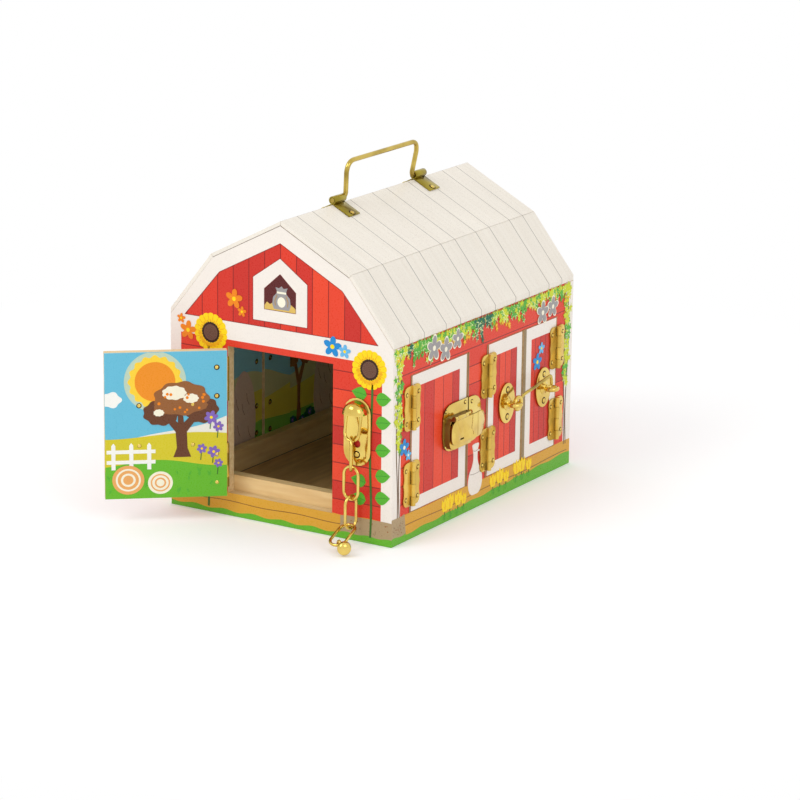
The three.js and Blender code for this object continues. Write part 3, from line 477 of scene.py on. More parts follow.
inks = {
    "white": (242, 234, 225), "cream": (248, 242, 218), "maroon": (92, 34, 34),
    "dirt": (220, 164, 54), "dirtLine": (146, 98, 44), "grass": (102, 180, 46), "stone": (176, 152, 116),
    "leafYellow": (206, 216, 32), "leafGreen": (84, 174, 52), "leafDark": (0, 104, 74),
    "leafTip": (244, 190, 36), "leafPale": (226, 238, 172),
    "stem": (104, 74, 44), "stalk": (64, 112, 46), "stalkLeaf": (88, 178, 48), "vein": (60, 140, 40),
    "petal": (254, 218, 14), "petalDeep": (240, 176, 16), "seed": (112, 78, 62), "seedDark": (56, 32, 20),
    "sky": (104, 190, 218), "cloud": (246, 246, 240), "hill": (236, 234, 222),
    "sunCore": (240, 146, 34), "sunRing": (252, 212, 60), "sunHalo": (190, 212, 190), "field": (214, 200, 44),
    "meadow": (104, 186, 44), "bark": (150, 96, 52), "barkDark": (104, 62, 38), "orange": (240, 134, 20),
    "blue": (30, 138, 208), "blueLight": (104, 184, 232), "purple": (132, 104, 188), "grey": (158, 154, 154),
    "hay": (222, 186, 96), "hayDark": (176, 134, 60), "seam": (156, 142, 130), "plankLine": (126, 34, 30),
    "shadedWood": (150, 128, 92), "blush": (226, 196, 176), "straw": (236, 170, 98),
}
inkMaterials = {}


def inkMaterial(name):
    if name not in inkMaterials:
        material, tree, shader = newMaterial("ink_" + name)
        mottled = useGroup(tree, printMottle, {"Colour": ink(*inks[name]), "Amount": boardPaint["mottle"],
                                               "Gloss": boardPaint["gloss"]})
        shader.inputs["Specular IOR Level"].default_value = boardPaint["specular"]
        coat(tree, shader, mottled, boardPaint["inkBump"])
        inkMaterials[name] = material
    return inkMaterials[name]


# Printed shapes: each is a closed film of ink that stands on its board, and a higher layer shows over a
# lower one. The rank parts the leaves and petals of one layer.
printLayers = {"first": 0.08, "step": 0.05, "rank": 0.003, "ranks": 15}
printFoot = 0.05  # the prints on the walls end this far above the ground


def layerTop(layer):
    return printLayers["first"] + layer * printLayers["step"]


def finishMesh(mesh, name):
    data = bpy.data.meshes.new(name)
    mesh.to_mesh(data)
    mesh.free()
    return data


# A closed film over flat loops: the first is the outline and the others are holes
def buildFilm(mesh, loops, place, top, index=0):
    loops = [list(loop) for loop in loops]
    for i, loop in enumerate(loops):
        area = sum(a[0] * b[1] - b[0] * a[1] for a, b in zip(loop, loop[1:] + loop[:1]))
        if (area < 0) == (i == 0):
            loop.reverse()
    flat = [p for loop in loops for p in loop]
    upper = [mesh.verts.new(place @ Vector((x, y, top))) for x, y in flat]
    lower = [mesh.verts.new(place @ Vector((x, y, 0))) for x, y in flat]
    faces = []
    for a, b, c in tessellate_polygon([[Vector((x, y, 0)) for x, y in loop] for loop in loops]):
        pa, pb, pc = (Vector(flat[i]) for i in (a, b, c))
        if (pb - pa).cross(pc - pa) < 0:
            b, c = c, b
        faces += [(upper[a], upper[b], upper[c]), (lower[c], lower[b], lower[a])]
    start = 0
    for loop in loops:
        for i in range(len(loop)):
            j = (i + 1) % len(loop)
            faces.append((lower[start + i], lower[start + j], upper[start + j], upper[start + i]))
        start += len(loop)
    for corners in faces:
        if len(set(corners)) == len(corners):
            mesh.faces.new(corners).material_index = index


# All printed shapes of one sheet, which ride on one body
class Print:
    def __init__(self, name, body):
        self.name, self.body = name, body
        self.mesh = bmesh.new()
        self.inks = []

    def indexOf(self, name):
        if name not in self.inks:
            self.inks.append(name)
        return self.inks.index(name)

    def shape(self, place, name, points, layer=0, holes=()):
        buildFilm(self.mesh, [points, *holes], place, layerTop(layer), self.indexOf(name))

    def add(self, mesh, name):
        index = self.indexOf(name)
        before = len(self.mesh.faces)
        self.mesh.from_mesh(mesh)
        self.mesh.faces.ensure_lookup_table()
        for face in self.mesh.faces[before:]:
            face.material_index = index

    def build(self):
        data = finishMesh(self.mesh, self.name)
        for name in self.inks:
            data.materials.append(inkMaterial(name))
        piece = addObject(self.name, data)
        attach(piece, self.body)


def box(x0, x1, y0, y1):
    return [(x0, y0), (x1, y0), (x1, y1), (x0, y1)]


def oval(x, y, rx, ry, steps=28, bumps=0, swell=0.0):
    points = []
    for i in range(steps):
        a = 2 * math.pi * i / steps
        r = 1 + swell * math.cos(bumps * a)
        points.append((x + rx * r * math.cos(a), y + ry * r * math.sin(a)))
    return points


def leaf(x, y, length, width, angle, steps=6):
    profile = [(t / steps, math.sin(math.pi * (t / steps) ** 0.75)) for t in range(steps + 1)]
    outline = [(length * t, width / 2 * w) for t, w in profile]
    outline += [(length * t, -width / 2 * w) for t, w in profile[-2:0:-1]]
    c, s = math.cos(math.radians(angle)), math.sin(math.radians(angle))
    return [(x + px * c - py * s, y + px * s + py * c) for px, py in outline]


def ribbon(points, width):
    left, right = [], []
    for i, (x, y) in enumerate(points):
        x0, y0 = points[max(i - 1, 0)]
        x1, y1 = points[min(i + 1, len(points) - 1)]
        length = math.hypot(x1 - x0, y1 - y0) or 1
        nx, ny = -(y1 - y0) / length * width / 2, (x1 - x0) / length * width / 2
        left.append((x + nx, y + ny))
        right.append((x - nx, y - ny))
    return left + right[::-1]


def wavy(x0, x1, low, level, swing, wave, phase, steps=40, rise=0.0):
    top = []
    for i in range(steps + 1):
        x = x0 + (x1 - x0) * i / steps
        top.append((x, level + rise * (x - x0) + swing * math.sin(wave * x + phase)))
    return [(x0, low), (x1, low)] + top[::-1]


def newGeometryTree(name, inputs):
    tree = bpy.data.node_groups.new(name, "GeometryNodeTree")
    tree.interface.new_socket(name="Geometry", in_out="INPUT", socket_type="NodeSocketGeometry")
    ids = {}
    for label, kind, value in inputs:
        socket = tree.interface.new_socket(name=label, in_out="INPUT", socket_type="NodeSocket" + kind)
        if value is not None:
            socket.default_value = value
        ids[label] = socket.identifier
    tree.interface.new_socket(name="Geometry", in_out="OUTPUT", socket_type="NodeSocketGeometry")
    return tree, tree.nodes.new("NodeGroupInput").outputs, tree.nodes.new("NodeGroupOutput").inputs, ids


def finishTree(tree, geometry, given, result, smooth=True):
    shaded = addNode(tree, "GeometryNodeSetShadeSmooth", {0: geometry, "Shade Smooth": smooth}).outputs[0]
    real = addNode(tree, "GeometryNodeRealizeInstances", {0: shaded}).outputs[0]
    painted = addNode(tree, "GeometryNodeSetMaterial", {0: real, "Material": given["Material"]}).outputs[0]
    tree.links.new(painted, result[0])


def attribute(tree, name, kind):
    node = addNode(tree, "GeometryNodeInputNamedAttribute", {"Name": name}, data_type=kind)
    return node.outputs["Attribute"]


# Geometry Nodes: one shape repeated on points, each with its own turn and size
def makeScatterTree():
    tree, given, result, ids = newGeometryTree(
        "scatterOnPoints", [("Shape", "Object", None), ("Material", "Material", None)])
    shape = addNode(tree, "GeometryNodeObjectInfo", {"Object": given["Shape"]}).outputs["Geometry"]
    turn = addNode(tree, "ShaderNodeCombineXYZ", {"Z": attribute(tree, "turn", "FLOAT")}).outputs[0]
    rotation = addNode(tree, "FunctionNodeEulerToRotation", {0: turn}).outputs[0]
    copies = addNode(tree, "GeometryNodeInstanceOnPoints",
                     {"Points": given["Geometry"], "Instance": shape, "Rotation": rotation,
                      "Scale": attribute(tree, "size", "FLOAT")}).outputs[0]
    finishTree(tree, copies, given, result, False)
    return tree, ids


# Geometry Nodes: rivet and screw heads that look along the heading of each point, each with a flat rim under
# the dome that carries painted shade
def makeHeadTree():
    tree, given, result, ids = newGeometryTree(
        "headsOnPoints",
        [("Radius", "Float", 1.6), ("Height", "Float", 0.8), ("Rim", "Float", 0.35),
         ("Slot", "Float", 0.0), ("Material", "Material", None)])
    unit = addNode(tree, "GeometryNodeMeshUVSphere", {"Segments": 20, "Rings": 10, "Radius": 1.0}).outputs[0]
    scale = addNode(tree, "ShaderNodeCombineXYZ",
                    {0: given["Radius"], 1: given["Radius"], 2: given["Height"]}).outputs[0]
    dome = addNode(tree, "GeometryNodeTransform", {0: unit, "Scale": scale}).outputs[0]
    rimRadius = calc(tree, "MULTIPLY", given["Radius"], 1.45)
    rimScale = addNode(tree, "ShaderNodeCombineXYZ", {0: rimRadius, 1: rimRadius, 2: given["Rim"]}).outputs[0]
    ring = addNode(tree, "GeometryNodeTransform", {0: unit, "Scale": rimScale}).outputs[0]
    rim = addNode(tree, "GeometryNodeStoreNamedAttribute", {0: ring, "Name": "crevice", "Value": 1.0},
                  data_type="FLOAT", domain="POINT").outputs[0]
    cuts = []
    for size in ((1.7, 0.32), (0.32, 1.7)):
        wide, tall = (calc(tree, "MULTIPLY", given["Radius"], s) for s in size)
        block = addNode(tree, "ShaderNodeCombineXYZ", {0: wide, 1: tall, 2: given["Height"]}).outputs[0]
        bar = addNode(tree, "GeometryNodeMeshCube", {"Size": block}).outputs[0]
        lift = addNode(tree, "ShaderNodeCombineXYZ", {2: given["Height"]}).outputs[0]
        cuts.append(addNode(tree, "GeometryNodeTransform", {0: bar, "Translation": lift}).outputs[0])
    cross = addNode(tree, "GeometryNodeJoinGeometry")
    for cut in cuts:
        tree.links.new(cut, cross.inputs[0])
    slotted = addNode(tree, "GeometryNodeMeshBoolean", operation="DIFFERENCE")
    tree.links.new(dome, slotted.inputs[0])
    tree.links.new(cross.outputs[0], slotted.inputs[1])
    chosen = addNode(tree, "GeometryNodeSwitch",
                     {0: calc(tree, "GREATER_THAN", given["Slot"], 0.5), 1: dome, 2: slotted.outputs[0]},
                     input_type="GEOMETRY").outputs[0]
    head = addNode(tree, "GeometryNodeJoinGeometry")
    tree.links.new(chosen, head.inputs[0])
    tree.links.new(rim, head.inputs[0])
    rotation = addNode(tree, "FunctionNodeAlignRotationToVector",
                       {"Vector": attribute(tree, "heading", "FLOAT_VECTOR")}, axis="Z").outputs[0]
    copies = addNode(tree, "GeometryNodeInstanceOnPoints",
                     {"Points": given["Geometry"], "Instance": head.outputs[0], "Rotation": rotation,
                      "Scale": attribute(tree, "size", "FLOAT")}).outputs[0]
    finishTree(tree, copies, given, result)
    return tree, ids


# Geometry Nodes: a round wire swept along the edges of a mesh
def makeWireTree():
    tree, given, result, ids = newGeometryTree(
        "wireAlongEdges", [("Radius", "Float", 1.3), ("Sides", "Int", 18), ("Material", "Material", None)])
    path = addNode(tree, "GeometryNodeMeshToCurve", {0: given["Geometry"]}).outputs[0]
    profile = addNode(tree, "GeometryNodeCurvePrimitiveCircle",
                      {"Resolution": given["Sides"], "Radius": given["Radius"]}).outputs[0]
    wire = addNode(tree, "GeometryNodeCurveToMesh",
                   {"Curve": path, "Profile Curve": profile, "Fill Caps": True}).outputs[0]
    finishTree(tree, wire, given, result)
    return tree, ids


# Geometry Nodes: an oval chain link that hangs down Y from the middle of its top bend
def makeLinkTree():
    tree, given, result, ids = newGeometryTree(
        "ovalLink", [("Length", "Float", 30.6), ("Width", "Float", 16.5), ("Wire", "Float", 1.3),
                     ("Material", "Material", None)])
    thick = calc(tree, "MULTIPLY", given["Wire"], 2.0)
    width = calc(tree, "SUBTRACT", given["Width"], thick)
    height = calc(tree, "SUBTRACT", given["Length"], thick)
    frameCurve = addNode(tree, "GeometryNodeCurvePrimitiveQuadrilateral",
                         {"Width": width, "Height": height}).outputs[0]
    bend = addNode(tree, "GeometryNodeFilletCurve",
                   {"Curve": frameCurve, "Count": 12, "Radius": calc(tree, "MULTIPLY", width, 0.499)},
                   mode="POLY").outputs[0]
    profile = addNode(tree, "GeometryNodeCurvePrimitiveCircle",
                      {"Resolution": 18, "Radius": given["Wire"]}).outputs[0]
    ring = addNode(tree, "GeometryNodeCurveToMesh", {"Curve": bend, "Profile Curve": profile}).outputs[0]
    drop = addNode(tree, "ShaderNodeCombineXYZ", {1: calc(tree, "MULTIPLY", height, -0.5)}).outputs[0]
    hung = addNode(tree, "GeometryNodeTransform", {0: ring, "Translation": drop}).outputs[0]
    finishTree(tree, hung, given, result)
    return tree, ids


scatterTree, headTree, wireTree, linkTree = makeScatterTree(), makeHeadTree(), makeWireTree(), makeLinkTree()


def runTree(treeAndIds, source, values, place):
    tree, ids = treeAndIds
    holder = addObject("work", source)
    modifier = holder.modifiers.new("nodes", "NODES")
    modifier.node_group = tree
    for label, value in values.items():
        modifier[ids[label]] = value
    bpy.context.view_layer.update()
    evaluated = holder.evaluated_get(bpy.context.evaluated_depsgraph_get())
    result = bpy.data.meshes.new_from_object(evaluated)
    bpy.data.objects.remove(holder)
    result.transform(place)
    return result


def pointMesh(points, floats=None, headings=None):
    data = bpy.data.meshes.new("points")
    data.from_pydata([Vector(p) for p in points], [], [])
    for key, values in (floats or {}).items():
        data.attributes.new(key, "FLOAT", "POINT").data.foreach_set("value", [float(v) for v in values])
    if headings:
        flat = [c for h in headings for c in h]
        data.attributes.new("heading", "FLOAT_VECTOR", "POINT").data.foreach_set("vector", flat)
    return data


def pathMesh(points, closed=False):
    data = bpy.data.meshes.new("path")
    count = len(points)
    edges = [(i, i + 1) for i in range(count - 1)] + ([(count - 1, 0)] if closed else [])
    data.from_pydata([Vector(p) for p in points], edges, [])
    return data


def metalPiece(name, body, meshes, material=None, replaces=()):
    joined = bmesh.new()
    materials = []
    for mesh in meshes:
        first = len(joined.faces)
        joined.from_mesh(mesh)
        joined.faces.ensure_lookup_table()
        own = mesh.materials[0] if mesh.materials and mesh.materials[0] else (material or brass)
        if own not in materials:
            materials.append(own)
        for face in joined.faces[first:]:
            face.material_index = materials.index(own)
    data = finishMesh(joined, name)
    for own in materials:
        data.materials.append(own)
    piece = addObject(name, data)
    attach(piece, body)
    if replaces:
        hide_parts(*replaces)


# Plated parts: how a node's corners are found, rounded and masked
easing = {"merge": 2e-6, "flat": 1, "corner": 38, "sharp": 47, "rim": 40, "upright": 0.35, "footBand": 0.3}


def roundEdges(mesh, edges, width):
    made = bmesh.ops.bevel(mesh, geom=edges, offset=width * mm, offset_type="OFFSET", segments=2,
                           profile=0.5, affect="EDGES", clamp_overlap=True)
    return set(made["faces"])


# The way a plate faces: with its door, or away from the middle of the barn
def outwardOf(name, mesh):
    if nodeBody[name] in doors:
        return Vector(doors[nodeBody[name]]["outer"].col[2][:3]).normalized()
    widest = max(mesh.faces, key=lambda f: f.calc_area())
    centre = widest.calc_center_median()
    return widest.normal if widest.normal.dot(Vector((centre.x, centre.y, 0))) > 0 else -widest.normal


# A CAD node's own shape with merged corners and small rounded edges. Flat faces stay flat in the light.
# Inner corners and the feet of upright sides get painted shade through the mask; upright sides and eased rims
# can get it too, as painted dark reflections.
def refined(name, width=0.22, seam=0.3, foot=0.8, side=0.0, edge=0.0):
    mesh = bmesh.new()
    mesh.from_mesh(frame["nodes"][name].data)
    flat, limit, sharpFrom = (math.radians(easing[k]) for k in ("flat", "corner", "sharp"))
    bmesh.ops.remove_doubles(mesh, verts=mesh.verts, dist=easing["merge"])
    bmesh.ops.dissolve_limit(mesh, angle_limit=flat, verts=mesh.verts, edges=mesh.edges)
    out = outwardOf(name, mesh).copy()
    curved = mesh.faces.layers.int.new("curved")
    for face in mesh.faces:
        bends = [e.calc_face_angle(0) for e in face.edges if len(e.link_faces) == 2]
        face[curved] = int(any(flat < bend < limit for bend in bends))
    sharp = [e for e in mesh.edges if len(e.link_faces) == 2 and e.calc_face_angle(0) > limit]
    inner = [e for e in sharp if not e.is_convex]
    strip = roundEdges(mesh, inner, seam) if inner and seam else set()
    outer = [e for e in mesh.edges
             if len(e.link_faces) == 2 and e.is_convex and e.calc_face_angle(0) > limit]
    eased = roundEdges(mesh, outer, width)
    strip = {f for f in strip if f.is_valid}
    inStrip = {v for f in strip for v in f.verts}
    low = min(v.co.dot(out) for v in mesh.verts) + easing["footBand"] * mm
    mask = mesh.loops.layers.float.new("crevice")
    for face in mesh.faces:
        upright = abs(face.normal.dot(out)) < easing["upright"]
        for corner in face.loops:
            atFoot = corner.vert in inStrip or corner.vert.co.dot(out) < low
            shade = foot if upright and atFoot else side if upright else edge if face in eased else 0.0
            corner[mask] = 1.0 if face in strip else shade
        face.smooth = face in strip or face in eased or face[curved] == 1
    mesh.faces.layers.int.remove(curved)
    data = finishMesh(mesh, name)
    data.set_sharp_from_angle(angle=sharpFrom)
    return data


# A shape turned round its own Z axis, with smooth sides and sharp rims
def turned(profile, steps, place):
    mesh = bmesh.new()
    angles = [2 * math.pi * i / steps for i in range(steps)]
    rings = []
    for r, z in profile:
        if r == 0:
            rings.append([mesh.verts.new((0, 0, z))])
        else:
            rings.append([mesh.verts.new((r * math.cos(a), r * math.sin(a), z)) for a in angles])
    for lower, upper in zip(rings, rings[1:]):
        for i in range(steps):
            j = (i + 1) % steps
            corners = [lower[i % len(lower)], lower[j % len(lower)],
                       upper[j % len(upper)], upper[i % len(upper)]]
            mesh.faces.new(list(dict.fromkeys(corners)))
    bmesh.ops.recalc_face_normals(mesh, faces=mesh.faces)
    data = finishMesh(mesh, "turned")
    data.shade_smooth()
    data.set_sharp_from_angle(angle=math.radians(easing["rim"]))
    data.transform(place)
    return data


# A flat plate with a rounded upper rim and painted shade at the feet of its sides
def plateMesh(points, low, high, width, place, metal=None):
    mesh = bmesh.new()
    bottom = [mesh.verts.new((x, y, low)) for x, y in points]
    face = mesh.faces.new(bottom)
    for made in bmesh.ops.extrude_face_region(mesh, geom=[face])["geom"]:
        if isinstance(made, bmesh.types.BMVert):
            made.co.z = high
    bmesh.ops.recalc_face_normals(mesh, faces=mesh.faces)
    rim = [e for e in mesh.edges if all(abs(v.co.z - high) < 1e-6 for v in e.verts)]
    bmesh.ops.bevel(mesh, geom=rim, offset=width, offset_type="OFFSET", segments=3, profile=0.6,
                    affect="EDGES")
    mask = mesh.loops.layers.float.new("crevice")
    for plane in mesh.faces:
        plane.smooth = abs(plane.normal.z) < 0.999
        for corner in plane.loops:
            corner[mask] = 0.8 if plane.smooth and corner.vert.co.z < low + 0.01 else 0.0
    data = finishMesh(mesh, "plate")
    data.set_sharp_from_angle(angle=math.radians(easing["rim"]))
    data.transform(place)
    if metal:
        data.materials.append(metal)
    return data


def circlePath(radius, steps, turn=None):
    angles = [2 * math.pi * i / steps for i in range(steps)]
    points = [Vector((radius * math.cos(a), radius * math.sin(a), 0)) for a in angles]
    return [turn @ p for p in points] if turn else points


def smoothPath(points, steps):
    spots = [Vector(p) for p in points]
    spots = [2 * spots[0] - spots[1]] + spots + [2 * spots[-1] - spots[-2]]
    out = []
    for a, b, c, d in zip(spots, spots[1:], spots[2:], spots[3:]):
        for i in range(steps):
            t = i / steps
            out.append(0.5 * (2 * b + (c - a) * t + (2 * a - 5 * b + 4 * c - d) * t * t
                              + (3 * b - a - 3 * c + d) * t ** 3))
    return out + [spots[-2]]


def sweep(points, radius, place, closed=False, sides=18, metal=None):
    values = {"Radius": radius, "Sides": sides, "Material": metal or brass}
    return runTree(wireTree, pathMesh(points, closed), values, place)


nodeBody = {node: body for body, nodes in frame["record"]["behaviour"]["bodies"].items() for node in nodes}

# Handle: a round wire bail with turned-out feet, in the darker bail brass as painted dark reflection
handle = {"span": 107, "height": 31.5, "wire": 2.1, "corner": 10, "foot": 4.2, "splay": 2.6,
          "end": 20, "place": placeAt(0, 1.5, 265.521, (0, 7.5, 0))}


def makeHandle():
    foot = handle["span"] / 2
    top, high = foot + handle["splay"], handle["height"]
    stops = [(foot + handle["end"], 0), (foot + handle["foot"], 0), (foot, handle["foot"]),
             (top, high - handle["corner"]), (top - handle["corner"], high)]
    elbows = [(foot, 0), (top, high)]
    half = [Vector((0, *stops[0]))]
    for i, elbow in enumerate(elbows):
        a, b, c = (Vector((0, *p)) for p in (stops[2 * i + 1], elbow, stops[2 * i + 2]))
        half += [a * (1 - t) ** 2 + b * 2 * t * (1 - t) + c * t ** 2 for t in (k / 12 for k in range(13))]
    path = half + [Vector((0, -p.y, p.z)) for p in reversed(half)]
    metalPiece("handle_bail", "handle", [sweep(path, handle["wire"], handle["place"], False, 24, bailBrass)],
               replaces=["carry_handle"])


makeHandle()
# Straps: a darker olive brass as painted dark reflection, with painted shade at the feet of their sides
strapNodes = ["handle_strap_front", "handle_strap_rear"]
metalPiece("handle_straps", "barn", [refined(n, seam=0) for n in strapNodes], strapBrass, replaces=strapNodes)

# Hinges: every leaf with its edges eased and painted shade in its seams and at its feet, one piece for each
# body
leavesOf = {}
for name in frame["nodes"]:
    if name.endswith(("wall_leaf", "door_leaf")):
        leavesOf.setdefault(nodeBody[name], []).append(name)
for body, names in sorted(leavesOf.items()):
    metalPiece(body + "_hinge_leaves", body, [refined(n, 0.18, foot=0.6) for n in sorted(names)], hingeBrass,
               replaces=sorted(names))

# Plates and bolts: edges eased, with painted shade in their seams and at the feet of their sides
for name in ("chain_plate", "chain_track", "bolt_guide", "door_bolt", "bolt_keeper", "turn_button"):
    metalPiece(name + "_plated", nodeBody[name], [refined(name, 0.25)], replaces=[name])

# Latch: the box and the cover have rounded rims; their sides and rims carry painted shade and painted dark
# reflections; a seam crosses the cover
latch = {"rim": 0.55, "catchRim": 0.25, "side": 0.75, "edge": 0.45, "seam": (119.2, 119.8, 70.6, 92),
         "face": 11.0, "seamTop": 11.16, "seamEdge": 0.03}
for name in ("latch_base", "latch_cover", "latch_catch"):
    width = latch["catchRim"] if name == "latch_catch" else latch["rim"]
    meshes = [refined(name, width, side=latch["side"], edge=latch["edge"])]
    if name == "latch_cover":
        meshes.append(plateMesh(box(*latch["seam"]), latch["face"], latch["seamTop"], latch["seamEdge"],
                                rightFace, darkerBrass))
    metalPiece(name + "_plated", nodeBody[name], meshes, replaces=[name])

# Cabin hook: an oval plate with a turned neck and a ring on each leaf, and the hook; the plates have painted
# shade at their feet, and the hook's bar is in the darker bail brass as painted dark reflection
hook = {"width": 26, "height": 36, "plate": 1.6, "lift": 0.3, "rim": 0.6, "ring": 5, "ringWire": 2.0,
        "standoff": 9.5, "eye": 5.2, "eyeWire": 1.9, "bar": 1.4, "screw": 12, "screwSeat": 1.9,
        "sides": (("hook_pivot_staple", "double_door_front", "hook_pivot_plate", 31.4),
                  ("hook_eye_staple", "double_door_rear", "hook_eye_plate", -23.6)),
        "place": placeAt(120.5, 39.5, 82.15, (90, -8.5, 90)),
        "route": ((5.2, 0, 0), (9.2, 3.8, 0), (29.5, 3.8, 0), (55, 3.8, 0), (58.7, 1.2, 0), (59, -5, 0))}


def makeRingPlate(name, body, node, across):
    place = doors[body]["outer"] @ shift(across, house["sideMiddle"], 0)
    top = hook["lift"] + hook["plate"]
    outline = oval(0, 0, hook["width"] / 2, hook["height"] / 2, 56)
    reach = hook["standoff"] - hook["ring"]
    neck = [(0, top - 0.5), (6.3, top - 0.5), (6.1, top + 0.4), (4.6, top + 0.9), (3.5, top + 1.6),
            (3.0, top + 2.2), (3.1, reach - 0.6), (3.5, reach + 0.1), (2.9, reach + 0.9), (1.6, reach + 1.4),
            (0, reach + 1.5)]
    ring = circlePath(hook["ring"], 40, Euler((math.pi / 2, 0, 0)).to_matrix())
    metalPiece(name, body, [
        plateMesh(outline, hook["lift"], top, hook["rim"], place),
        turned(neck, 28, place),
        sweep(ring, hook["ringWire"], place @ shift(0, 0, hook["standoff"]), True),
    ], replaces=[node])


for values in hook["sides"]:
    makeRingPlate(*values)
metalPiece("cabin_hook_wire", "cabin_hook", [
    sweep(smoothPath(hook["route"], 8), hook["bar"], hook["place"], metal=bailBrass),
    sweep(circlePath(hook["eye"], 36), hook["eyeWire"], hook["place"], True),
], replaces=["cabin_hook"])

# Chain: five oval links and the turned knob
chain = {"Length": 30.6, "Width": 16.5, "Wire": 1.3, "Material": brass}
linkPlaces = {
    "chain_link_1": placeAt(77.6, -156.3, 116.55, (79.535, 0, 0)),
    "chain_link_2": placeAt(77.6, -160.85, 91.917, (90, 0, -60)),
    "chain_link_3": placeAt(77.6, -160.85, 66.867, (90, 0, 0)),
    "chain_link_4": placeAt(77.6, -160.85, 41.817, (90, 0, 82)),
    "chain_link_5": placeAt(77.6, -160.85, 16.767, (21.951, 0, 2)),
}
for name, place in linkPlaces.items():
    mesh = runTree(linkTree, pointMesh([(0, 0, 0)]), chain, place)
    metalPiece(name + "_wire", nodeBody[name], [mesh], replaces=[name])
knob = {"ring": 3.3, "wire": 1.1, "place": placeAt(82.45, -185.5, 6.77, (90, 0, -34)),
        "profile": ((0, 3.6), (2, 3.6), (1.7, 5.4), (2, 7.3), (4.3, 7.4), (5.6, 8.2), (6, 9.5), (5.9, 10.9),
                    (5.3, 12.4), (4.2, 13.4), (2.6, 14.1), (1.2, 14.35), (0, 14.4))}
metalPiece("chain_knob_turned", "chain_knob", [
    turned(knob["profile"], 36, knob["place"] @ spin(0, 90, 0)),
    sweep(circlePath(knob["ring"], 36), knob["wire"], knob["place"], True),
], replaces=["chain_knob"])
print("hardware made")

# Rivets and screws: the size of each kind of head, and the height of the plates that they sit on
rivet = {"radius": 1.35, "height": 0.95, "rim": 0.3, "slot": 0}
screw = {"radius": 2.2, "height": 1.0, "rim": 0.35, "slot": 1}
peen = {"radius": 1.7, "height": 0.8, "rim": 0.4, "slot": 0}
seats = {"hinge": 1.3, "strap": 4.65, "plate": 1.5, "chain": 1.8, "button": 4.3}
heads = {}


def addHead(kind, body, place, x, y, z=0.0, size=1.0):
    out = Vector(place.col[2][:3]).normalized()
    spot = place @ Vector((x, y, z))
    heads.setdefault((body, kind), []).append((spot / mm, out, size))


for name, door in doors.items():
    back = door["wall"] @ shift(0, 0, -house["wall"]) @ spin(0, 180, 0)
    reach = door["hand"] * house["leafRivet"]
    for height in door["hinges"]:
        for dy in (-house["rivetSpan"], house["rivetSpan"]):
            addHead("rivet", name, door["outer"], reach, height + dy, seats["hinge"])
            addHead("rivet", "barn", door["wall"], door["line"] - reach, height + dy, seats["hinge"])
            addHead("peen", name, door["inner"], -reach, height + dy)
            addHead("peen", "barn", back, -(door["line"] - reach), height + dy)
for sign in (-1, 1):
    strap = placeAt(0, 0, house["ridge"], (0, sign * slope["upper"], 0))
    for middle in (-63.5, 66.5):
        addHead("pale", "barn", strap, sign * 14, middle, seats["strap"])
latchMiddle = house["sideMiddle"]
for x, y in ((53, 15.5), (84.5, 17.3), (53, -15.5), (84.5, -17.3)):
    addHead("rivet", "single_door", doors["single_door"]["outer"], x, y + latchMiddle, seats["plate"])
    addHead("peen", "single_door", doors["single_door"]["inner"], -x, y + latchMiddle)
for dy in (15.4, -16.2):
    addHead("rivet", "barn", rightFace, 124.8, latchMiddle + dy, seats["plate"])
for _, body, _, x in hook["sides"]:
    for dy in (-hook["screw"], hook["screw"]):
        addHead("screw", body, doors[body]["outer"], x, latchMiddle + dy, hook["screwSeat"])
        addHead("peen", body, doors[body]["inner"], -x, latchMiddle + dy)
addHead("screw", "barn", frontFace, 77.6, 75.2, seats["chain"])
front, rear = doors["front_door"], doors["far_door_rear"]["outer"]
for x in (-22.5, 22.5):
    for y in (-17.5, 17.5):
        addHead("rivet", "front_door", front["outer"], 52 + x, house["frontMiddle"] + y, seats["plate"])
        addHead("peen", "front_door", front["inner"], -52 - x, house["frontMiddle"] + y)
boltMiddle = latchMiddle - 22
for x in (67, 80):
    addHead("rivet", "far_door_rear", rear, x, boltMiddle, seats["plate"], 0.01)
for dy in (-6.3, 6.3):
    addHead("rivet", "far_door_rear", rear, 73.5, boltMiddle + dy, seats["plate"], 0.8)
    addHead("rivet", "barn", leftFace, -159.4, boltMiddle + dy, seats["plate"], 0.8)
addHead("screw", "turn_button", leftFace, -30.4, latchMiddle, seats["button"])

headKinds = {"rivet": (rivet, brass), "screw": (screw, darkerBrass), "peen": (peen, brass),
             "pale": (screw, paleBrass)}
for (body, kind), spots in sorted(heads.items()):
    values, metal = headKinds[kind]
    points = pointMesh([s[0] for s in spots], {"size": [s[2] for s in spots]}, [s[1] for s in spots])
    mesh = runTree(headTree, points, {"Radius": values["radius"], "Height": values["height"],
                                      "Rim": values["rim"], "Slot": float(values["slot"]), "Material": metal},
                   Matrix.Scale(mm, 4))
    metalPiece(f"{body}_{kind}s", body, [mesh])
print("rivets and screws set:", sum(len(s) for s in heads.values()))

# Leaves, petals and dots: closed flat shapes of unit length that are scattered on points
flatThickness = 0.016


def flatShape(name, points):
    mesh = bmesh.new()
    buildFilm(mesh, [points], Matrix(), flatThickness)
    return bpy.data.objects.new(name, finishMesh(mesh, name))


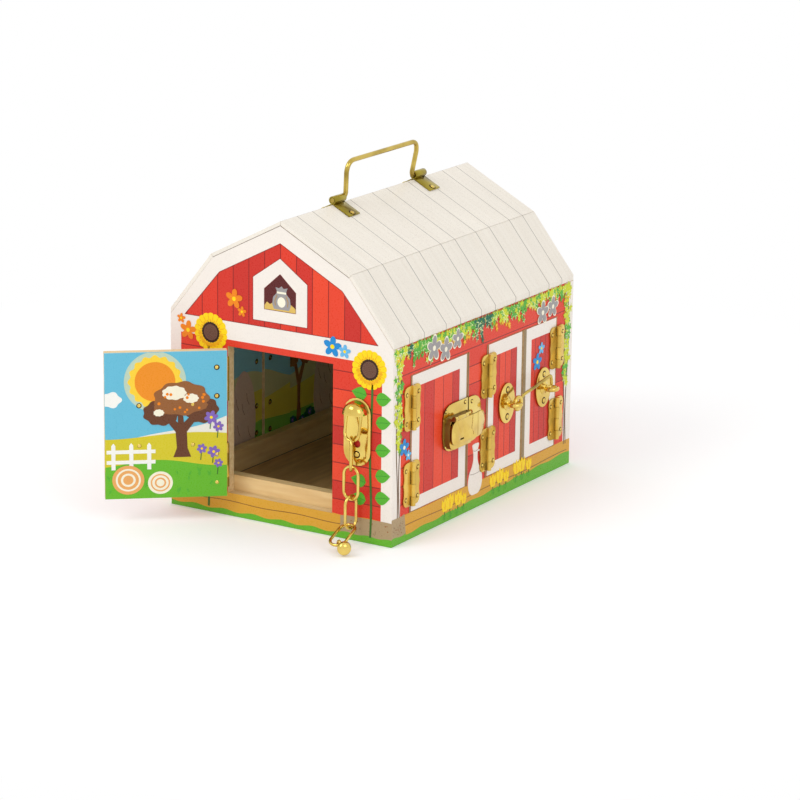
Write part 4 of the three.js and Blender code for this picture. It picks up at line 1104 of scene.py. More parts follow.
ivyLobes = ((180, 0.05), (225, 0.42), (262, 0.2), (300, 0.46), (335, 0.24), (0, 0.62), (25, 0.24),
            (60, 0.46), (98, 0.2), (135, 0.42))
shapes = {
    "leaf": flatShape("leafShape", leaf(0, 0, 1, 0.42, 0)),
    "ivy": flatShape("ivyShape", [(0.4 + r * math.cos(math.radians(a)), r * math.sin(math.radians(a)))
                                  for a, r in ivyLobes]),
    "petal": flatShape("petalShape", oval(0.56, 0, 0.44, 0.3, 16)),
    "crease": flatShape("creaseShape", leaf(0, 0, 1, 0.09, 0)),
    "dot": flatShape("dotShape", oval(0, 0, 0.5, 0.5, 10)),
}
sheets = {}


def sheetFor(body, name):
    if name not in sheets:
        sheets[name] = Print(name, body)
    return sheets[name]


# Each spot is x, y, turn, size and, where shapes overlap, its rank in the pile
def scatter(sheet, place, shape, name, spots, layer=0, grow=1.0, sink=0.0):
    top = layerTop(layer)
    points, turns, sizes = [], [], []
    for i, (x, y, turn, size, *rank) in enumerate(spots):
        rise = printLayers["rank"] * ((rank[0] if rank else i % printLayers["ranks"]) - sink)
        points.append((x, y, top + rise - flatThickness * size * grow))
        turns.append(math.radians(turn))
        sizes.append(size * grow)
    mesh = runTree(scatterTree, pointMesh(points, {"turn": turns, "size": sizes}),
                   {"Shape": shapes[shape], "Material": inkMaterial(name)}, place)
    sheet.add(mesh, name)


# A round flower: a scalloped head, a crease between petals and a seeded centre
flower = {"radius": 16.8, "petals": 18, "notch": 0.08, "core": 8.9, "middle": 6.9, "seeds": 70,
          "seedTurn": math.radians(137.508), "seedSize": 0.55, "seedReach": 0.9, "inner": 0.5,
          "crease": 0.46, "shade": 0.16, "shadeBelow": 0.12}


def drawFlower(sheet, place, x, y, radius, layer=5):
    count, scale = flower["petals"], radius / flower["radius"]
    head = []
    for i in range(count * 10):
        a = 2 * math.pi * i / (count * 10)
        r = radius * (1 - flower["notch"] * (1 - abs(math.sin(count * a / 2)) ** 0.5))
        head.append((x + r * math.cos(a), y + r * math.sin(a)))
    sheet.shape(place, "petal", head, layer)
    creases, warm = [], []
    start = radius * flower["inner"]
    for i in range(count):
        a = math.radians(360 * i / count)
        creases.append((x + start * math.cos(a), y + start * math.sin(a), math.degrees(a),
                        radius * flower["crease"]))
        half = a + math.pi / count
        warm.append((x + start * math.cos(half), y + start * math.sin(half), math.degrees(half),
                     radius * (flower["shade"] + flower["shadeBelow"] * (math.sin(half) < 0))))
    scatter(sheet, place, "petal", "petalDeep", warm, layer + 1)
    scatter(sheet, place, "crease", "petalDeep", creases, layer + 1)
    core, middle = flower["core"] * scale, flower["middle"] * scale
    sheet.shape(place, "seedDark", oval(x, y, core, core, 48, 24, 0.03), layer + 2)
    sheet.shape(place, "seed", oval(x, y, middle, middle, 36), layer + 3)
    seeds = []
    for i in range(flower["seeds"]):
        a, r = flower["seedTurn"] * i, middle * flower["seedReach"] * math.sqrt(i / flower["seeds"])
        seeds.append((x + r * math.cos(a), y + r * math.sin(a), 0, flower["seedSize"]))
    scatter(sheet, place, "dot", "seedDark", seeds, layer + 4)


# A stalk with round leaves; each leaf is given as side (1 is to the right) and height
stalk = {"width": 2, "leafGap": 4.6, "leafLength": 14.6, "leafWidth": 11.4, "tilt": 8, "veinWidth": 0.45}


def drawStalk(sheet, place, x, top, low, leaves, layer=5):
    levels = [top - (top - low) * i / 24 for i in range(25)]
    points = [(x + 0.8 * math.sin(0.06 * y), y) for y in levels]
    sheet.shape(place, "stalk", ribbon(points, stalk["width"]), layer)
    for k, (side, y) in enumerate(leaves):
        angle = stalk["tilt"] if side > 0 else 180 - stalk["tilt"]
        start = x + side * stalk["leafGap"]
        blade = leaf(start, y, stalk["leafLength"], stalk["leafWidth"], angle, 9)
        sheet.shape(place, "stalkLeaf", blade, layer + 1)
        c, n = math.cos(math.radians(angle)), math.sin(math.radians(angle))
        vein = [(start + c * d - side * n * b, y + n * d + side * c * b * 0.4)
                for d, b in ((0.8, 0), (5, 0.9), (12, 0))]
        sheet.shape(place, "vein", ribbon(vein, stalk["veinWidth"]), layer + 2)


# A door's white surround, with a dark line under its inner edge
def frameShape(sheet, place, outer, inner, line=0.5):
    x0, x1, y0, y1 = inner
    sheet.shape(place, "plankLine", box(x0 - line, x1 + line, y0 - line, y1 + line), 0, [box(*inner)])
    sheet.shape(place, "white", box(*outer), 1, [box(*inner)])


# Gable: white trim with the red field cut out of it, the loft window, corner boards and the ground
gable = {"field": [(-96.3, 170), (96.3, 170), (61, 211), (0, 243), (-61, 211)], "band": 154, "corner": 100.4,
         "window": [(-27, 175), (27, 175), (27, 211.5), (0, 230.3), (-27, 211.5)],
         "opening": [(-15.7, 185.5), (15.7, 185.5), (15.7, 203), (0, 217), (-15.7, 203)],
         "edge": 0.1, "over": 0.12, "seam": 0.2, "line": 0.4, "ground": 20.6, "sill": 20.02,
         "gap": 0.3, "dirtLine": 12.5, "dirtWidth": 0.7, "grass": 4.4}


def drawGable(sheet, place, withDoorway):
    w, over = house["halfWidth"] + gable["edge"], gable["over"]
    rake = [(w, house["eave"]), (house["breakX"] + over, house["breakZ"] + over), (0, house["ridge"] + over),
            (-house["breakX"] - over, house["breakZ"] + over), (-w, house["eave"])]
    sheet.shape(place, "white", [(-w, gable["band"]), (w, gable["band"])] + rake, 1, [gable["field"]])
    top = [(x, y - gable["seam"]) for x, y in rake[1:4]]
    sheet.shape(place, "seam", ribbon(top, gable["line"]), 2)
    for loop in (gable["field"], gable["opening"], gable["window"]):
        sheet.shape(place, "plankLine", ribbon(loop + loop[:1], gable["line"]), 3)
    for sign in (-1, 1):
        x0, x1 = sorted((sign * gable["corner"], sign * w))
        sheet.shape(place, "white", box(x0, x1, printFoot, gable["band"]), 1)
    sheet.shape(place, "white", gable["window"], 2, [gable["opening"]])
    sheet.shape(place, "maroon", gable["opening"], 1)
    half = house["doorway"] / 2 + gable["gap"]
    for x0, x1 in [(-w, -half), (half, w)] if withDoorway else [(-w, w)]:
        sheet.shape(place, "dirt", wavy(x0, x1, printFoot, gable["ground"], 0.7, 0.13, x0), 2)
    if withDoorway:
        sheet.shape(place, "dirt", box(-half, half, printFoot, gable["sill"]), 2)
    line = [(x, gable["dirtLine"] + 0.6 * math.sin(0.09 * x)) for x in range(-110, 111, 5)]
    sheet.shape(place, "dirtLine", ribbon(line, gable["dirtWidth"]), 3)
    sheet.shape(place, "grass", wavy(-w, w, printFoot, gable["grass"], 0.9, 0.21, 1.0, 70), 3)


barnPrint = sheetFor("barn", "barn_front_print")
drawGable(barnPrint, frontFace, True)
for stem, top, leaves, head in (
        (90.2, 138, [(1, 124.5), (-1, 126.5), (1, 104.5), (1, 81), (1, 59), (-1, 52), (1, 40), (-1, 36.5)],
         (88.1, 148.6)),
        (-72.5, 146, [(-1, 118), (1, 104), (-1, 84), (1, 66), (-1, 48), (1, 30)], (-69.7, 157.8))):
    drawStalk(barnPrint, frontFace, stem, top, 5, leaves)
    drawFlower(barnPrint, frontFace, *head, flower["radius"])

# The stone patch at the foot of the corner, on both faces, with flecks and a strip of grass below it
stone = {"seed": 3, "front": (61, 111.4), "side": (-0.1, 22), "flecks": 70, "sink": 12}


def drawStone():
    pick = random.Random(stone["seed"])
    for place, (x0, x1), low in ((frontFace, stone["front"], 5.4), (rightFace, stone["side"], 6.2)):
        rise = 3.6 if place is rightFace else 0
        top = [(x1 - 0.6 * rise, 20.6 + rise), (x1 - 8, 20.9 + 0.6 * rise), (x0 + 6, 20.6 + 0.8 * rise),
               (x0, 19.6 + 1.08 * rise)]
        barnPrint.shape(place, "stone", [(x0, low), (x1, low)] + top, 4.2)
        flecks = [(pick.uniform(x0 + 2, x1 - 3), pick.uniform(low + 1.5, 19), 0, pick.uniform(0.6, 1.4))
                  for _ in range(stone["flecks"])]
        for i, name in enumerate(("shadedWood", "bark")):
            scatter(barnPrint, place, "dot", name, flecks[i::2], 4.5, sink=stone["sink"])
        barnPrint.shape(place, "grass", wavy(x0, x1, printFoot, low + 0.4, 0.6, 0.3, 0.4, 30), 4.7)


drawStone()

# The loft holds a tied sack on straw, in warm greys and browns
loft = {"x": 1.5, "tie": 0.7}


def drawLoft(sheet, place):
    x = loft["x"]
    straw = [(-15.4, 185.8), (15.4, 185.8), (15.4, 189)] + [
        (14 - 3 * i, 190.4 + (1.8 if i % 2 else 0)) for i in range(10)] + [(-15.4, 189)]
    sheet.shape(place, "hay", straw, 3)
    sack = [(x - 7.5, 187), (x + 7.5, 187), (x + 9.2, 191), (x + 8.4, 197), (x + 4.2, 201.5), (x + 6, 206),
            (x + 2, 205), (x, 207), (x - 2.6, 205), (x - 6, 205.6), (x - 4.2, 201.5), (x - 8.4, 197),
            (x - 9.2, 191)]
    sheet.shape(place, "grey", sack, 4)
    sheet.shape(place, "cream", box(x - 4.6, x + 4.6, 200.5, 202.2), 5)
    sheet.shape(place, "cream", oval(x, 193.4, 4, 4.4, 20), 5)
    for way in (-1, 1):
        fold = [(x + way * 6, 190), (x + way * 6.6, 194), (x + way * 4.4, 199)]
        sheet.shape(place, "hayDark", ribbon(fold, loft["tie"]), 5)


drawLoft(barnPrint, frontFace)


# Small generic blossoms on the gable and the walls
def drawBlossom(sheet, place, x, y, radius, petals, name, core, layer=7, outline=None):
    spots = [(x, y, 360 * i / petals + 12, radius) for i in range(petals)]
    if outline:
        scatter(sheet, place, "petal", outline, spots, layer - 1, 1.14)
    scatter(sheet, place, "petal", name, spots, layer)
    sheet.shape(place, core, oval(x, y, radius * 0.22, radius * 0.22, 14), layer + 3)


for x, y, r, name in ((-46, 190, 8.6, "orange"), (-38, 180, 4.6, "orange"), (-93, 156.5, 8.4, "orange"),
                      (-100, 166, 4.4, "orange"), (52, 163, 9, "blue"), (64, 160.5, 6, "blueLight")):
    drawBlossom(barnPrint, frontFace, x, y, r, 5, name, "petal")

# Ivy: hanging tufts of small leaves along the eave, some with a pale edge, and a vine down both corners
ivy = {"seed": 11, "tufts": 46, "drop": 13.5, "row": 3.6, "size": (6.8, 9.2), "spread": 4.2, "vineWidth": 1.2,
       "trails": {35: 6, 57: 12, 95: 4, 116: 5, 138: 13, 169: 9, 185: 7, 208: 8, 232: 2, 283: 6},
       "vines": ((9.4, 82, 163), (291, 82, 160)), "vineStep": 5.8, "pile": 60, "rankParts": 16,
       "paleShare": 0.3, "paleGrow": 1.16, "paleSink": 0.47,
       "fill": 150, "fillSize": (5.4, 7), "fillTurn": 60, "turn": 42, "lift": 0.6, "change": 0.72,
       "weights": (5, 4.4, 2), "stretch": (0.72, 1.12),
       "trailWidth": 4.5, "stems": ((-2.6, 0.0), (2.2, 2.0)), "sway": 1.6, "vineTuft": (8.6, 3.4),
       "vineWeights": (5, 2), "mixWeights": (9, 1), "tipFrom": 0.55, "tipShare": 0.75}


def drawTuft(leaves, pick, x, y, length, spread, names):
    rows = max(2, round(length / ivy["row"]))
    for k in reversed(range(rows)):
        part = k / rows
        reach = spread * (1 - 0.8 * part)
        for _ in range(3 if part < 0.3 else 2 if part < 0.6 else 1):
            name = pick.choices(names, ivy["mixWeights"])[0]
            if part > ivy["tipFrom"] and names[0] == "leafYellow" and pick.random() < ivy["tipShare"]:
                name = "leafTip"
            spot = (x + pick.uniform(-reach, reach), y - length * part,
                    -90 + pick.uniform(-ivy["turn"], ivy["turn"]),
                    pick.uniform(*ivy["size"]) * (1 - 0.3 * part))
            leaves.append((name, *spot))


def drawIvy(sheet, place, mirrored, seed):
    pick = random.Random(seed)
    leaves = []
    partner = {"leafYellow": "leafGreen", "leafGreen": "leafYellow", "leafDark": "leafGreen"}
    way = -1 if mirrored else 1
    top = house["eave"] + ivy["lift"]
    for i in range(ivy["fill"]):
        s = 2 + (barnLength - 12) * (i + pick.random()) / ivy["fill"]
        leaves.append((pick.choice(("leafGreen", "leafYellow")), way * s, top - 1,
                       -90 + pick.uniform(-ivy["fillTurn"], ivy["fillTurn"]), pick.uniform(*ivy["fillSize"])))
    name = "leafYellow"
    for i in range(ivy["tufts"]):
        s = 4.5 + (barnLength - 9) * (i + pick.uniform(0.25, 0.75)) / ivy["tufts"]
        trail = max(drop * math.exp(-((s - t) / ivy["trailWidth"]) ** 2) for t, drop in ivy["trails"].items())
        if pick.random() < ivy["change"]:
            name = pick.choices(("leafYellow", "leafGreen", "leafDark"), ivy["weights"])[0]
        length = ivy["drop"] * pick.uniform(*ivy["stretch"]) + trail
        drawTuft(leaves, pick, way * s, top, length, ivy["spread"], (name, partner[name]))
    for middle, low, high in ivy["vines"]:
        for line, phase in ivy["stems"]:
            points = [(way * (middle + line * 0.9 + ivy["sway"] * math.sin(0.05 * y + phase)), y)
                      for y in range(20, 162, 4)]
            sheet.shape(place, "stem", ribbon(points, ivy["vineWidth"]), 4)
        y = high
        while y > low:
            name = pick.choices(("leafYellow", "leafGreen"), ivy["vineWeights"])[0]
            x = way * (middle + pick.uniform(-ivy["sway"], ivy["sway"]))
            drawTuft(leaves, pick, x, y, *ivy["vineTuft"], (name, partner[name]))
            y -= ivy["vineStep"]
    ranked = [(name, (x, y, turn, size, i % ivy["pile"] + i // ivy["pile"] / ivy["rankParts"]))
              for i, (name, x, y, turn, size) in enumerate(leaves)]
    pale = [spot for name, spot in ranked if pick.random() < ivy["paleShare"] and name != "leafTip"]
    scatter(sheet, place, "ivy", "leafPale", pale, 5, ivy["paleGrow"], ivy["paleSink"])
    for own in ("leafDark", "leafGreen", "leafYellow", "leafTip"):
        scatter(sheet, place, "ivy", own, [spot for name, spot in ranked if name == own], 5)


# Side wall: corner boards, the ground, a strip of grass and ivy
side = {"corner": 12.7, "edge": 0.1, "ground": 23.0, "dirtLine": 13.2, "dirtWidth": 0.8,
        "grass": 5.2, "grassRise": 0.022}


def drawSide(sheet, place, mirrored, seed):
    way, edge = -1 if mirrored else 1, side["edge"]
    for a, b in ((-edge, side["corner"]), (barnLength - side["corner"], barnLength + edge)):
        x0, x1 = sorted((way * a, way * b))
        sheet.shape(place, "white", box(x0, x1, printFoot, house["eave"] - printFoot), 1)
    x0, x1 = sorted((-way * edge, way * (barnLength + edge)))
    sheet.shape(place, "dirt", wavy(x0, x1, printFoot, side["ground"], 0.3, 0.07, 0.5, 80), 2)
    line = [(way * s, side["dirtLine"] + 0.7 * math.sin(0.05 * s)) for s in range(14, 300, 6)]
    sheet.shape(place, "dirtLine", ribbon(line, side["dirtWidth"]), 3)
    start = side["grass"] + (side["grassRise"] * barnLength if mirrored else 0)
    rise = way * side["grassRise"]
    sheet.shape(place, "grass", wavy(x0, x1, printFoot, start, 0.6, 0.16, 0.0, 110, rise), 4)
    drawIvy(sheet, place, mirrored, seed)


sidePrint = sheetFor("barn", "barn_right_print")
drawSide(sidePrint, rightFace, False, ivy["seed"])
for x, y, r, name in ((17.4, 82, 7.6, "blue"), (24, 74, 4.8, "blueLight"), (63, 157, 10.6, "grey"),
                      (82, 152, 10, "grey"), (101, 157, 8.4, "grey"), (246, 150, 10, "grey"),
                      (264, 152, 9, "grey")):
    drawBlossom(sidePrint, rightFace, x, y, r, 5, name, "cream", 11, "cream" if name == "grey" else None)

# A white milk can and yellow tulips stand along the ground of the right wall
churn = {"half": ((0, 0), (4.6, 0.3), (8, 3), (10, 8), (9.8, 13), (7.8, 18), (4.8, 22), (3.2, 26), (2.9, 30),
                  (3.4, 34), (4.6, 37), (4.4, 38.6), (0, 39.2)),
         "bands": ((16.6, 7.6), (34, 3.2)), "bandWidth": 0.5,
         "ear": ((3.8, 33), (7.4, 32.4), (9.4, 28), (9, 23), (7.6, 19.6)), "earWidth": 1.5}
tulipCup = ((-2, 0), (2, 0), (3.6, 3.4), (3.2, 7.4), (1.5, 5.6), (0, 8), (-1.5, 5.6), (-3.2, 7.4),
            (-3.6, 3.4))


def drawChurn(sheet, place, x, y, scale):
    half = smoothPath([(a, b, 0) for a, b in churn["half"]], 4)
    side = [(x + p.x * scale, y + p.y * scale) for p in half]
    sheet.shape(place, "white", side + [(2 * x - a, b) for a, b in reversed(side[1:-1])], 6)
    for level, reach in churn["bands"]:
        band = [(x + reach * scale * t, y + scale * (level - 0.8 * (1 - t * t)))
                for t in (-1, -0.5, 0, 0.5, 1)]
        sheet.shape(place, "seam", ribbon(band, churn["bandWidth"]), 7)
    ear = [(x + scale * a, y + scale * b) for a, b in churn["ear"]]
    sheet.shape(place, "white", ribbon(ear, churn["earWidth"]), 5)


def drawTulip(sheet, place, x, y, s, lean, over):
    stem = [(x, y), (x + lean * 0.4, y + 3 * s), (x + lean, y + 5.6 * s)]
    sheet.shape(place, "stalk", ribbon(stem, 1.1), 5 + over)
    for angle in (118, 62):
        sheet.shape(place, "stalkLeaf", leaf(x, y, 4.6 * s, 2 * s, angle), 6 + over)
    cx, cy = x + lean, y + 5 * s
    sheet.shape(place, "petal", [(cx + a * s, cy + b * s) for a, b in tulipCup], 7 + over)
    sheet.shape(place, "petalDeep", leaf(cx, cy + 0.6, 5.6 * s, 0.9 * s, 90), 8 + over)


drawChurn(sidePrint, rightFace, 134.5, 12.5, 1.16)
tulips = ((84, 2, 1.5, 1), (94, 1.6, 1.7, -1), (105, 2, 1.6, 1.5), (115, 3, 1.2, 1), (166, 4, 1.5, -1),
          (176, 3.6, 1.7, 1), (187, 4.4, 1.3, 1), (205, 5, 1.6, 1), (216, 5, 1.65, -1), (227, 5.6, 1.3, 0.5))
for i, (x, y, s, lean) in enumerate(tulips):
    drawTulip(sidePrint, rightFace, x, y, s, lean, 0.08 * i)

# Beside the doors' gaps, strips of bare board edge in painted shade: on the wall and on the doors
shadedEdgeStrips = {
    "wall": [(119.9, 121, 23, 141), (27.2, 28, 23, 141), (151, 151.9, 23, 141)],
    "single_door": [(88.3, 88.9, 24, 140.5)], "double_door_front": [(57.6, 58.1, 24, 140.5)],
    "double_door_rear": [(-58.1, -53.6, 24, 140.5)],
}
for x0, x1, y0, y1 in shadedEdgeStrips["wall"]:
    sidePrint.shape(rightFace, "shadedWood", box(x0, x1, y0, y1), 8)

farPrint = sheetFor("barn", "barn_left_print")
drawSide(farPrint, leftFace, True, ivy["seed"] + 1)
backPrint = sheetFor("barn", "barn_back_print")
drawGable(backPrint, backFace, False)
for x in (-58, 0, 58):
    drawStalk(backPrint, backFace, x, 92, 6, [(-1, 70), (1, 58), (-1, 44), (1, 30)])
    drawFlower(backPrint, backFace, x, 100, flower["radius"])

# White surrounds on the doors: outer and inner edges from the hinge line, in millimetres
surrounds = {
    "single_door": ((0.9, 88.2, 23.75, 140.4), (12.9, 76.9, 35, 130)),
    "double_door_front": ((1, 57.5, 23.75, 140.4), (10, 49.3, 34.4, 128.6)),
    "double_door_rear": ((-53.5, -1, 23.75, 140.4), (-44.6, -10.7, 34.6, 129.3)),
    "far_door_front": ((0.9, 88.4, 23.75, 140.4), (12.9, 76.9, 35, 130)),
    "far_door_rear": ((0.9, 88.4, 23.75, 140.4), (12.9, 76.9, 35, 130)),
    "front_door": ((0.9, 103, 21, 147.2), (13, 91, 33, 135)),
}
for name, (outer, inner) in surrounds.items():
    frameShape(sheetFor(name, name + "_print"), doors[name]["outer"], outer, inner)
    for strip in shadedEdgeStrips.get(name, []):
        sheets[name + "_print"].shape(doors[name]["outer"], "shadedWood", box(*strip), 1)
rearPrint, rearPlace = sheets["double_door_rear_print"], doors["double_door_rear"]["outer"]
for x, y, r, name in ((-34, 107, 8, "blue"), (-27, 118, 5.6, "blueLight")):
    drawBlossom(rearPrint, rearPlace, x, y, r, 5, name, "petal")


# The picture inside the front door: sky, sun, cloud, hill, fields, a tree, a fence and flowers
picture = {"seed": 5, "box": (-103.1, -1, 21, 147.2), "sun": (-61, 122), "halo": 26, "rays": 22, "disc": 17,
           "fruit": 15}


def drawPicture():
    sheet, place = sheetFor("front_door", "front_door_picture"), doors["front_door"]["inner"]
    x0, x1, y0, y1 = picture["box"]
    across = [x0 + (x1 - x0) * t / 30 for t in range(31)]
    sheet.shape(place, "sky", box(x0, x1, y0, y1), 0)
    hill = [(x, 68 + 26 * (t / 30) ** 1.6 + 3 * math.sin(t / 6)) for t, x in enumerate(across)]
    sheet.shape(place, "hill", [(x0, 60)] + hill + [(x1, 60)], 1)
    for name, r, bumps, swell, layer in (("sunHalo", picture["halo"], 0, 0, 1.5),
                                         ("sunRing", picture["rays"], 16, 0.05, 2),
                                         ("sunCore", picture["disc"], 0, 0, 3)):
        points = [(max(x0, px), min(y1, py)) for px, py in oval(*picture["sun"], r, r, 96, bumps, swell)]
        sheet.shape(place, name, points, layer)
    cloud = [(max(x0, px), py) for px, py in oval(-98, 107, 8.6, 6.6, 60, 5, 0.1)]
    sheet.shape(place, "cloud", cloud, 2)
    field = [(x, 75 - 2.4 * math.cos(t / 7)) for t, x in enumerate(across)]
    sheet.shape(place, "field", [(x0, y0)] + field + [(x1, y0)], 4)
    meadow = [(x, 51 + 3 * math.sin(t / 5 - 1)) for t, x in enumerate(across)]
    sheet.shape(place, "meadow", [(x0, y0)] + meadow + [(x1, y0)], 5)
    trunk = [(-46, 56), (-31, 56), (-34, 64), (-34.5, 78), (-24, 92), (-28, 95), (-37, 86), (-38, 96),
             (-42, 96), (-42, 86), (-51, 94), (-54, 91), (-44, 78), (-43, 64)]
    sheet.shape(place, "barkDark", trunk, 6)
    for x, y, rx, ry, name, layer in (
            (-56, 95, 15, 11, "barkDark", 6.5), (-22, 97, 14, 11.5, "barkDark", 6.6),
            (-39, 107, 23, 14.5, "bark", 7), (-54, 99, 8, 5, "bark", 7.2), (-24, 101, 7, 4.6, "bark", 7.4),
            (-45, 112, 10, 6, "cream", 7.6), (-31, 107, 6.4, 4, "cream", 7.7),
            (-58, 95, 4.4, 3, "cream", 7.8)):
        sheet.shape(place, name, oval(x, y, rx, ry, 72, 9, 0.05), layer)
    pick = random.Random(picture["seed"])
    fruit = [(-39 + pick.uniform(-20, 20), 103 + pick.uniform(-8, 9), 0, pick.uniform(2, 2.8))
             for _ in range(picture["fruit"])]
    scatter(sheet, place, "dot", "orange", fruit, 8)
    for x in (-98, -83, -68):
        sheet.shape(place, "cloud", [(x, 46), (x + 3.4, 46), (x + 3.4, 67), (x + 1.7, 69.4), (x, 67)], 7)
    for y in (51, 60):
        sheet.shape(place, "cloud", box(-102, -61, y, y + 3.2), 6)
    for x, y, r in ((-14, 90, 6), (-8, 82, 4.6), (-12, 60, 5.4), (-22, 63, 4.4), (-8, 50, 4)):
        sheet.shape(place, "stalk", ribbon([(x, y), (x - 1, y - 10)], 0.8), 7)
        drawBlossom(sheet, place, x, y, r, 6, "purple", "petal", 8)
    for x, y, r, name, inner in ((-84, 37, 13.5, "straw", "cream"), (-57, 34, 10.5, "cream", "straw")):
        sheet.shape(place, name, oval(x, y, r, r * 0.94, 40), 8)
        for k, part in enumerate((0.78, 0.66, 0.46, 0.32)):
            coil = oval(x, y, r * part, r * part * 0.94, 36)
            sheet.shape(place, (inner, name)[k % 2], coil, 8.4 + 0.4 * k)
    blades = [(x, pick.uniform(24, 44), 90 + turn, pick.uniform(4, 5.6))
              for x in (-100, -70, -42, -33, -24, -15) for turn in (-26, 0, 26)]
    scatter(sheet, place, "leaf", "stalkLeaf", blades, 7)


# Inside, the far doors carry parts of the same picture: a haystack, bushes, a cloud and a tree
inside = {"stack": ((13, 26), (11, 50), (14, 76), (21, 91), (30, 97), (39, 91), (46, 76), (49, 50), (47, 26)),
          "straws": ((22, 40), (31, 62), (38, 44), (24, 70), (40, 68)), "strawWidth": 0.5,
          "bushes": ((56, 34, 9), (68, 31, 6.6), (84, 33, 7)),
          "puffs": ((52, 118, 8, 6), (61, 121, 9, 7.6), (70, 118, 7, 5.4)),
          "crown": ((62, 92, 10, 9), (83, 93, 9.6, 8.6), (72, 101, 14, 11)),
          "trunk": ((69, 28), (78, 28), (75.6, 50), (76, 66), (81, 84), (77, 86), (73.4, 74), (67, 86),
                    (64, 83), (71, 66), (71.6, 50))}


def drawInside():
    for name in ("far_door_front", "far_door_rear"):
        sheet, place = sheetFor(name, name + "_inside"), doors[name]["inner"]
        sign = -doors[name]["hand"]
        outline = smoothPath([(sign * a, b, 0) for a, b in inside["stack"]], 4)
        sheet.shape(place, "blush", [(p.x, p.y) for p in outline], 1)
        for i, (a, b) in enumerate(inside["straws"]):
            straw = [(sign * (a - 3), b - 5), (sign * a, b), (sign * (a + 1), b + 6)]
            sheet.shape(place, "bark", ribbon(straw, inside["strawWidth"]), 1.4 + 0.1 * i)
        sheet.shape(place, "bark", [(sign * a, b) for a, b in inside["trunk"]], 3)
        for kind, tone in (("crown", "bark"), ("puffs", "cloud")):
            for i, (a, b, rx, ry) in enumerate(inside[kind]):
                sheet.shape(place, tone, oval(sign * a, b, rx, ry, 48, 9, 0.05), 4 + 0.2 * i)
        for i, (a, b, r) in enumerate(inside["bushes"]):
            sheet.shape(place, "leafDark", oval(sign * a, b, r, r * 0.8, 48, 9, 0.06), 5 + 0.2 * i)
            drawBlossom(sheet, place, sign * a, b + 0.3 * r, 0.36 * r, 6, "purple", "petal", 8)


drawInside()
drawPicture()
for sheet in sheets.values():
    sheet.build()
print("print laid on:", len(sheets), "sheets")

# Floor, world, lamps and camera. The floor keeps the barn's shadow near it and turns to plain white
# further out, for the camera and for what the metal shows.
stage = {"floor": ink(250, 250, 250), "floorSize": 7.0, "drop": 0.0003, "shine": 0.1, "lift": 0.1,
         "fadeFrom": 0.3, "fadeTo": 0.75, "white": (1, 1, 1, 1),
         "zenith": (0.9, 0.9, 0.9, 1), "horizon": (0.66, 0.66, 0.66, 1)}


def seenRays(tree):
    rays = addNode(tree, "ShaderNodeLightPath").outputs
    seen = calc(tree, "MAXIMUM", rays["Is Camera Ray"], rays["Is Glossy Ray"])
    return calc(tree, "MAXIMUM", seen, rays["Is Transmission Ray"])


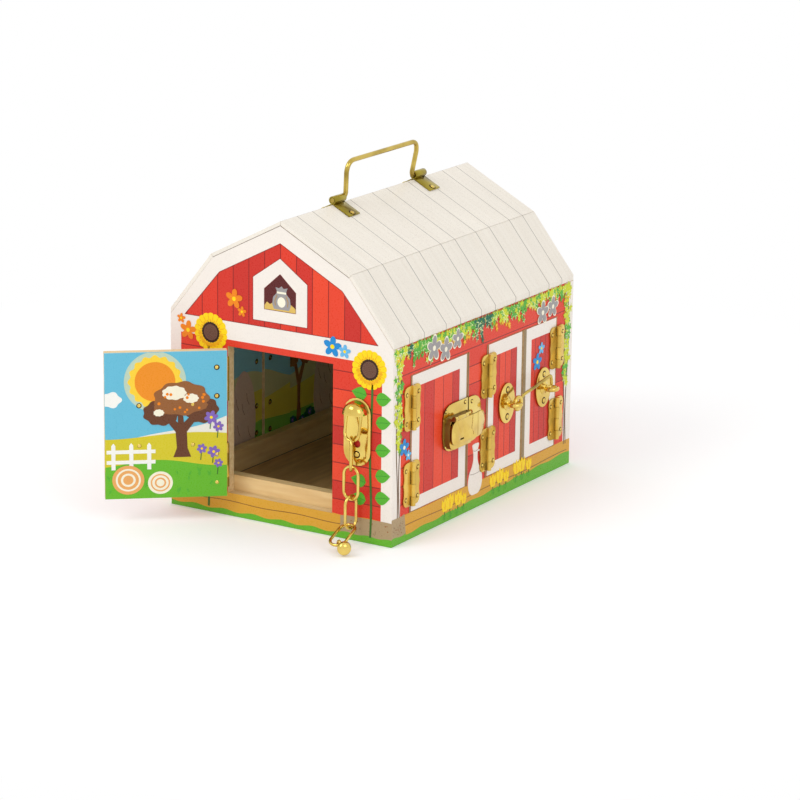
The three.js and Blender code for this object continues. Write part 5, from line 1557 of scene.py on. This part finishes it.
def makeStage():
    bpy.ops.mesh.primitive_grid_add(x_subdivisions=4, y_subdivisions=4, size=stage["floorSize"])
    floor = bpy.context.object
    floor.name = "studio_floor"
    floor.location.z = -stage["drop"]
    material, tree, shader = newMaterial("floor_paper")
    grain = addNode(tree, "ShaderNodeTexNoise", {"Scale": noise["paper"], "Detail": 2.0})
    tree.links.new(ramp(tree, grain.outputs[0], 0.3, 0.7, 0.8, 0.9), shader.inputs["Roughness"])
    shader.inputs["Base Color"].default_value = stage["floor"]
    shader.inputs["Specular IOR Level"].default_value = stage["shine"]
    place = addNode(tree, "ShaderNodeTexCoord").outputs["Object"]
    away = addNode(tree, "ShaderNodeVectorMath", {0: place}, operation="LENGTH").outputs["Value"]
    fade = ramp(tree, away, stage["fadeFrom"], stage["fadeTo"])
    far = calc(tree, "MULTIPLY", fade, seenRays(tree))
    plain = addNode(tree, "ShaderNodeEmission", {"Color": stage["white"], "Strength": 1.0}).outputs[0]
    both = addNode(tree, "ShaderNodeMixShader", {0: far, 1: shader.outputs[0], 2: plain}).outputs[0]
    glow = addNode(tree, "ShaderNodeEmission", {"Color": stage["white"]})
    near = calc(tree, "SUBTRACT", 1.0, fade)
    tree.links.new(calc(tree, "MULTIPLY", calc(tree, "MULTIPLY", near, seenRays(tree)), stage["lift"]),
                   glow.inputs["Strength"])
    total = addNode(tree, "ShaderNodeAddShader", {0: both, 1: glow.outputs[0]}).outputs[0]
    tree.links.new(total, tree.nodes["Material Output"].inputs["Surface"])
    floor.data.materials.append(material)
    floor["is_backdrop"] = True
    world = bpy.data.worlds.new("studio")
    world.use_nodes = True
    bpy.context.scene.world = world
    tree = world.node_tree
    background = tree.nodes["Background"]
    coords = addNode(tree, "ShaderNodeTexCoord").outputs["Generated"]
    direction = addNode(tree, "ShaderNodeSeparateXYZ", {0: coords})
    level = ramp(tree, direction.outputs["Z"], -0.05, 0.75)
    light = mixColour(tree, level, stage["horizon"], stage["zenith"])
    tree.links.new(mixColour(tree, seenRays(tree), light, stage["white"]), background.inputs["Color"])
    background.inputs["Strength"].default_value = 1.0


# Soft boxes: size in metres, power in watts, place and the point they look at
lamps = {
    "key": {"size": 1.3, "power": 18, "place": (-0.9, -2.0, 2.0)},
    "fill": {"size": 1.4, "power": 9, "place": (2.3, -1.0, 1.5)},
}
lampAim = (0, 0, 0.12)


def makeLamps():
    for name, values in lamps.items():
        data = bpy.data.lights.new(name, "AREA")
        data.shape = "SQUARE"
        data.size = values["size"]
        data.energy = values["power"]
        lamp = addObject(name, data)
        lamp.location = values["place"]
        aim = Vector(lampAim) - Vector(values["place"])
        lamp.rotation_euler = aim.to_track_quat("-Z", "Y").to_euler()


cameraValues = {"azimuth": 31.60839, "elevation": 15.3427, "roll": -0.7298, "lens": 152.637,
                "sensor": 36, "reach": 20, "place": (1.51468, -2.42062, 0.85901)}


def makeCamera():
    a, e, r = (math.radians(cameraValues[k]) for k in ("azimuth", "elevation", "roll"))
    back = Vector((math.sin(a) * math.cos(e), -math.cos(a) * math.cos(e), math.sin(e)))
    right = Vector((math.cos(a), math.sin(a), 0))
    up = back.cross(right)
    across = math.cos(r) * right - math.sin(r) * up
    above = math.sin(r) * right + math.cos(r) * up
    data = bpy.data.cameras.new("camera")
    data.lens = cameraValues["lens"]
    data.sensor_width = cameraValues["sensor"]
    data.clip_end = cameraValues["reach"]
    camera = addObject("camera", data)
    turn = Matrix((across, above, back)).transposed().to_4x4()
    camera.matrix_world = Matrix.Translation(Vector(cameraValues["place"])) @ turn
    bpy.context.scene.camera = camera


makeStage()
makeLamps()
makeCamera()
bpy.context.scene.view_settings.view_transform = "Standard"
for shape in shapes.values():
    bpy.data.objects.remove(shape)
print("stage set")

low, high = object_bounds()
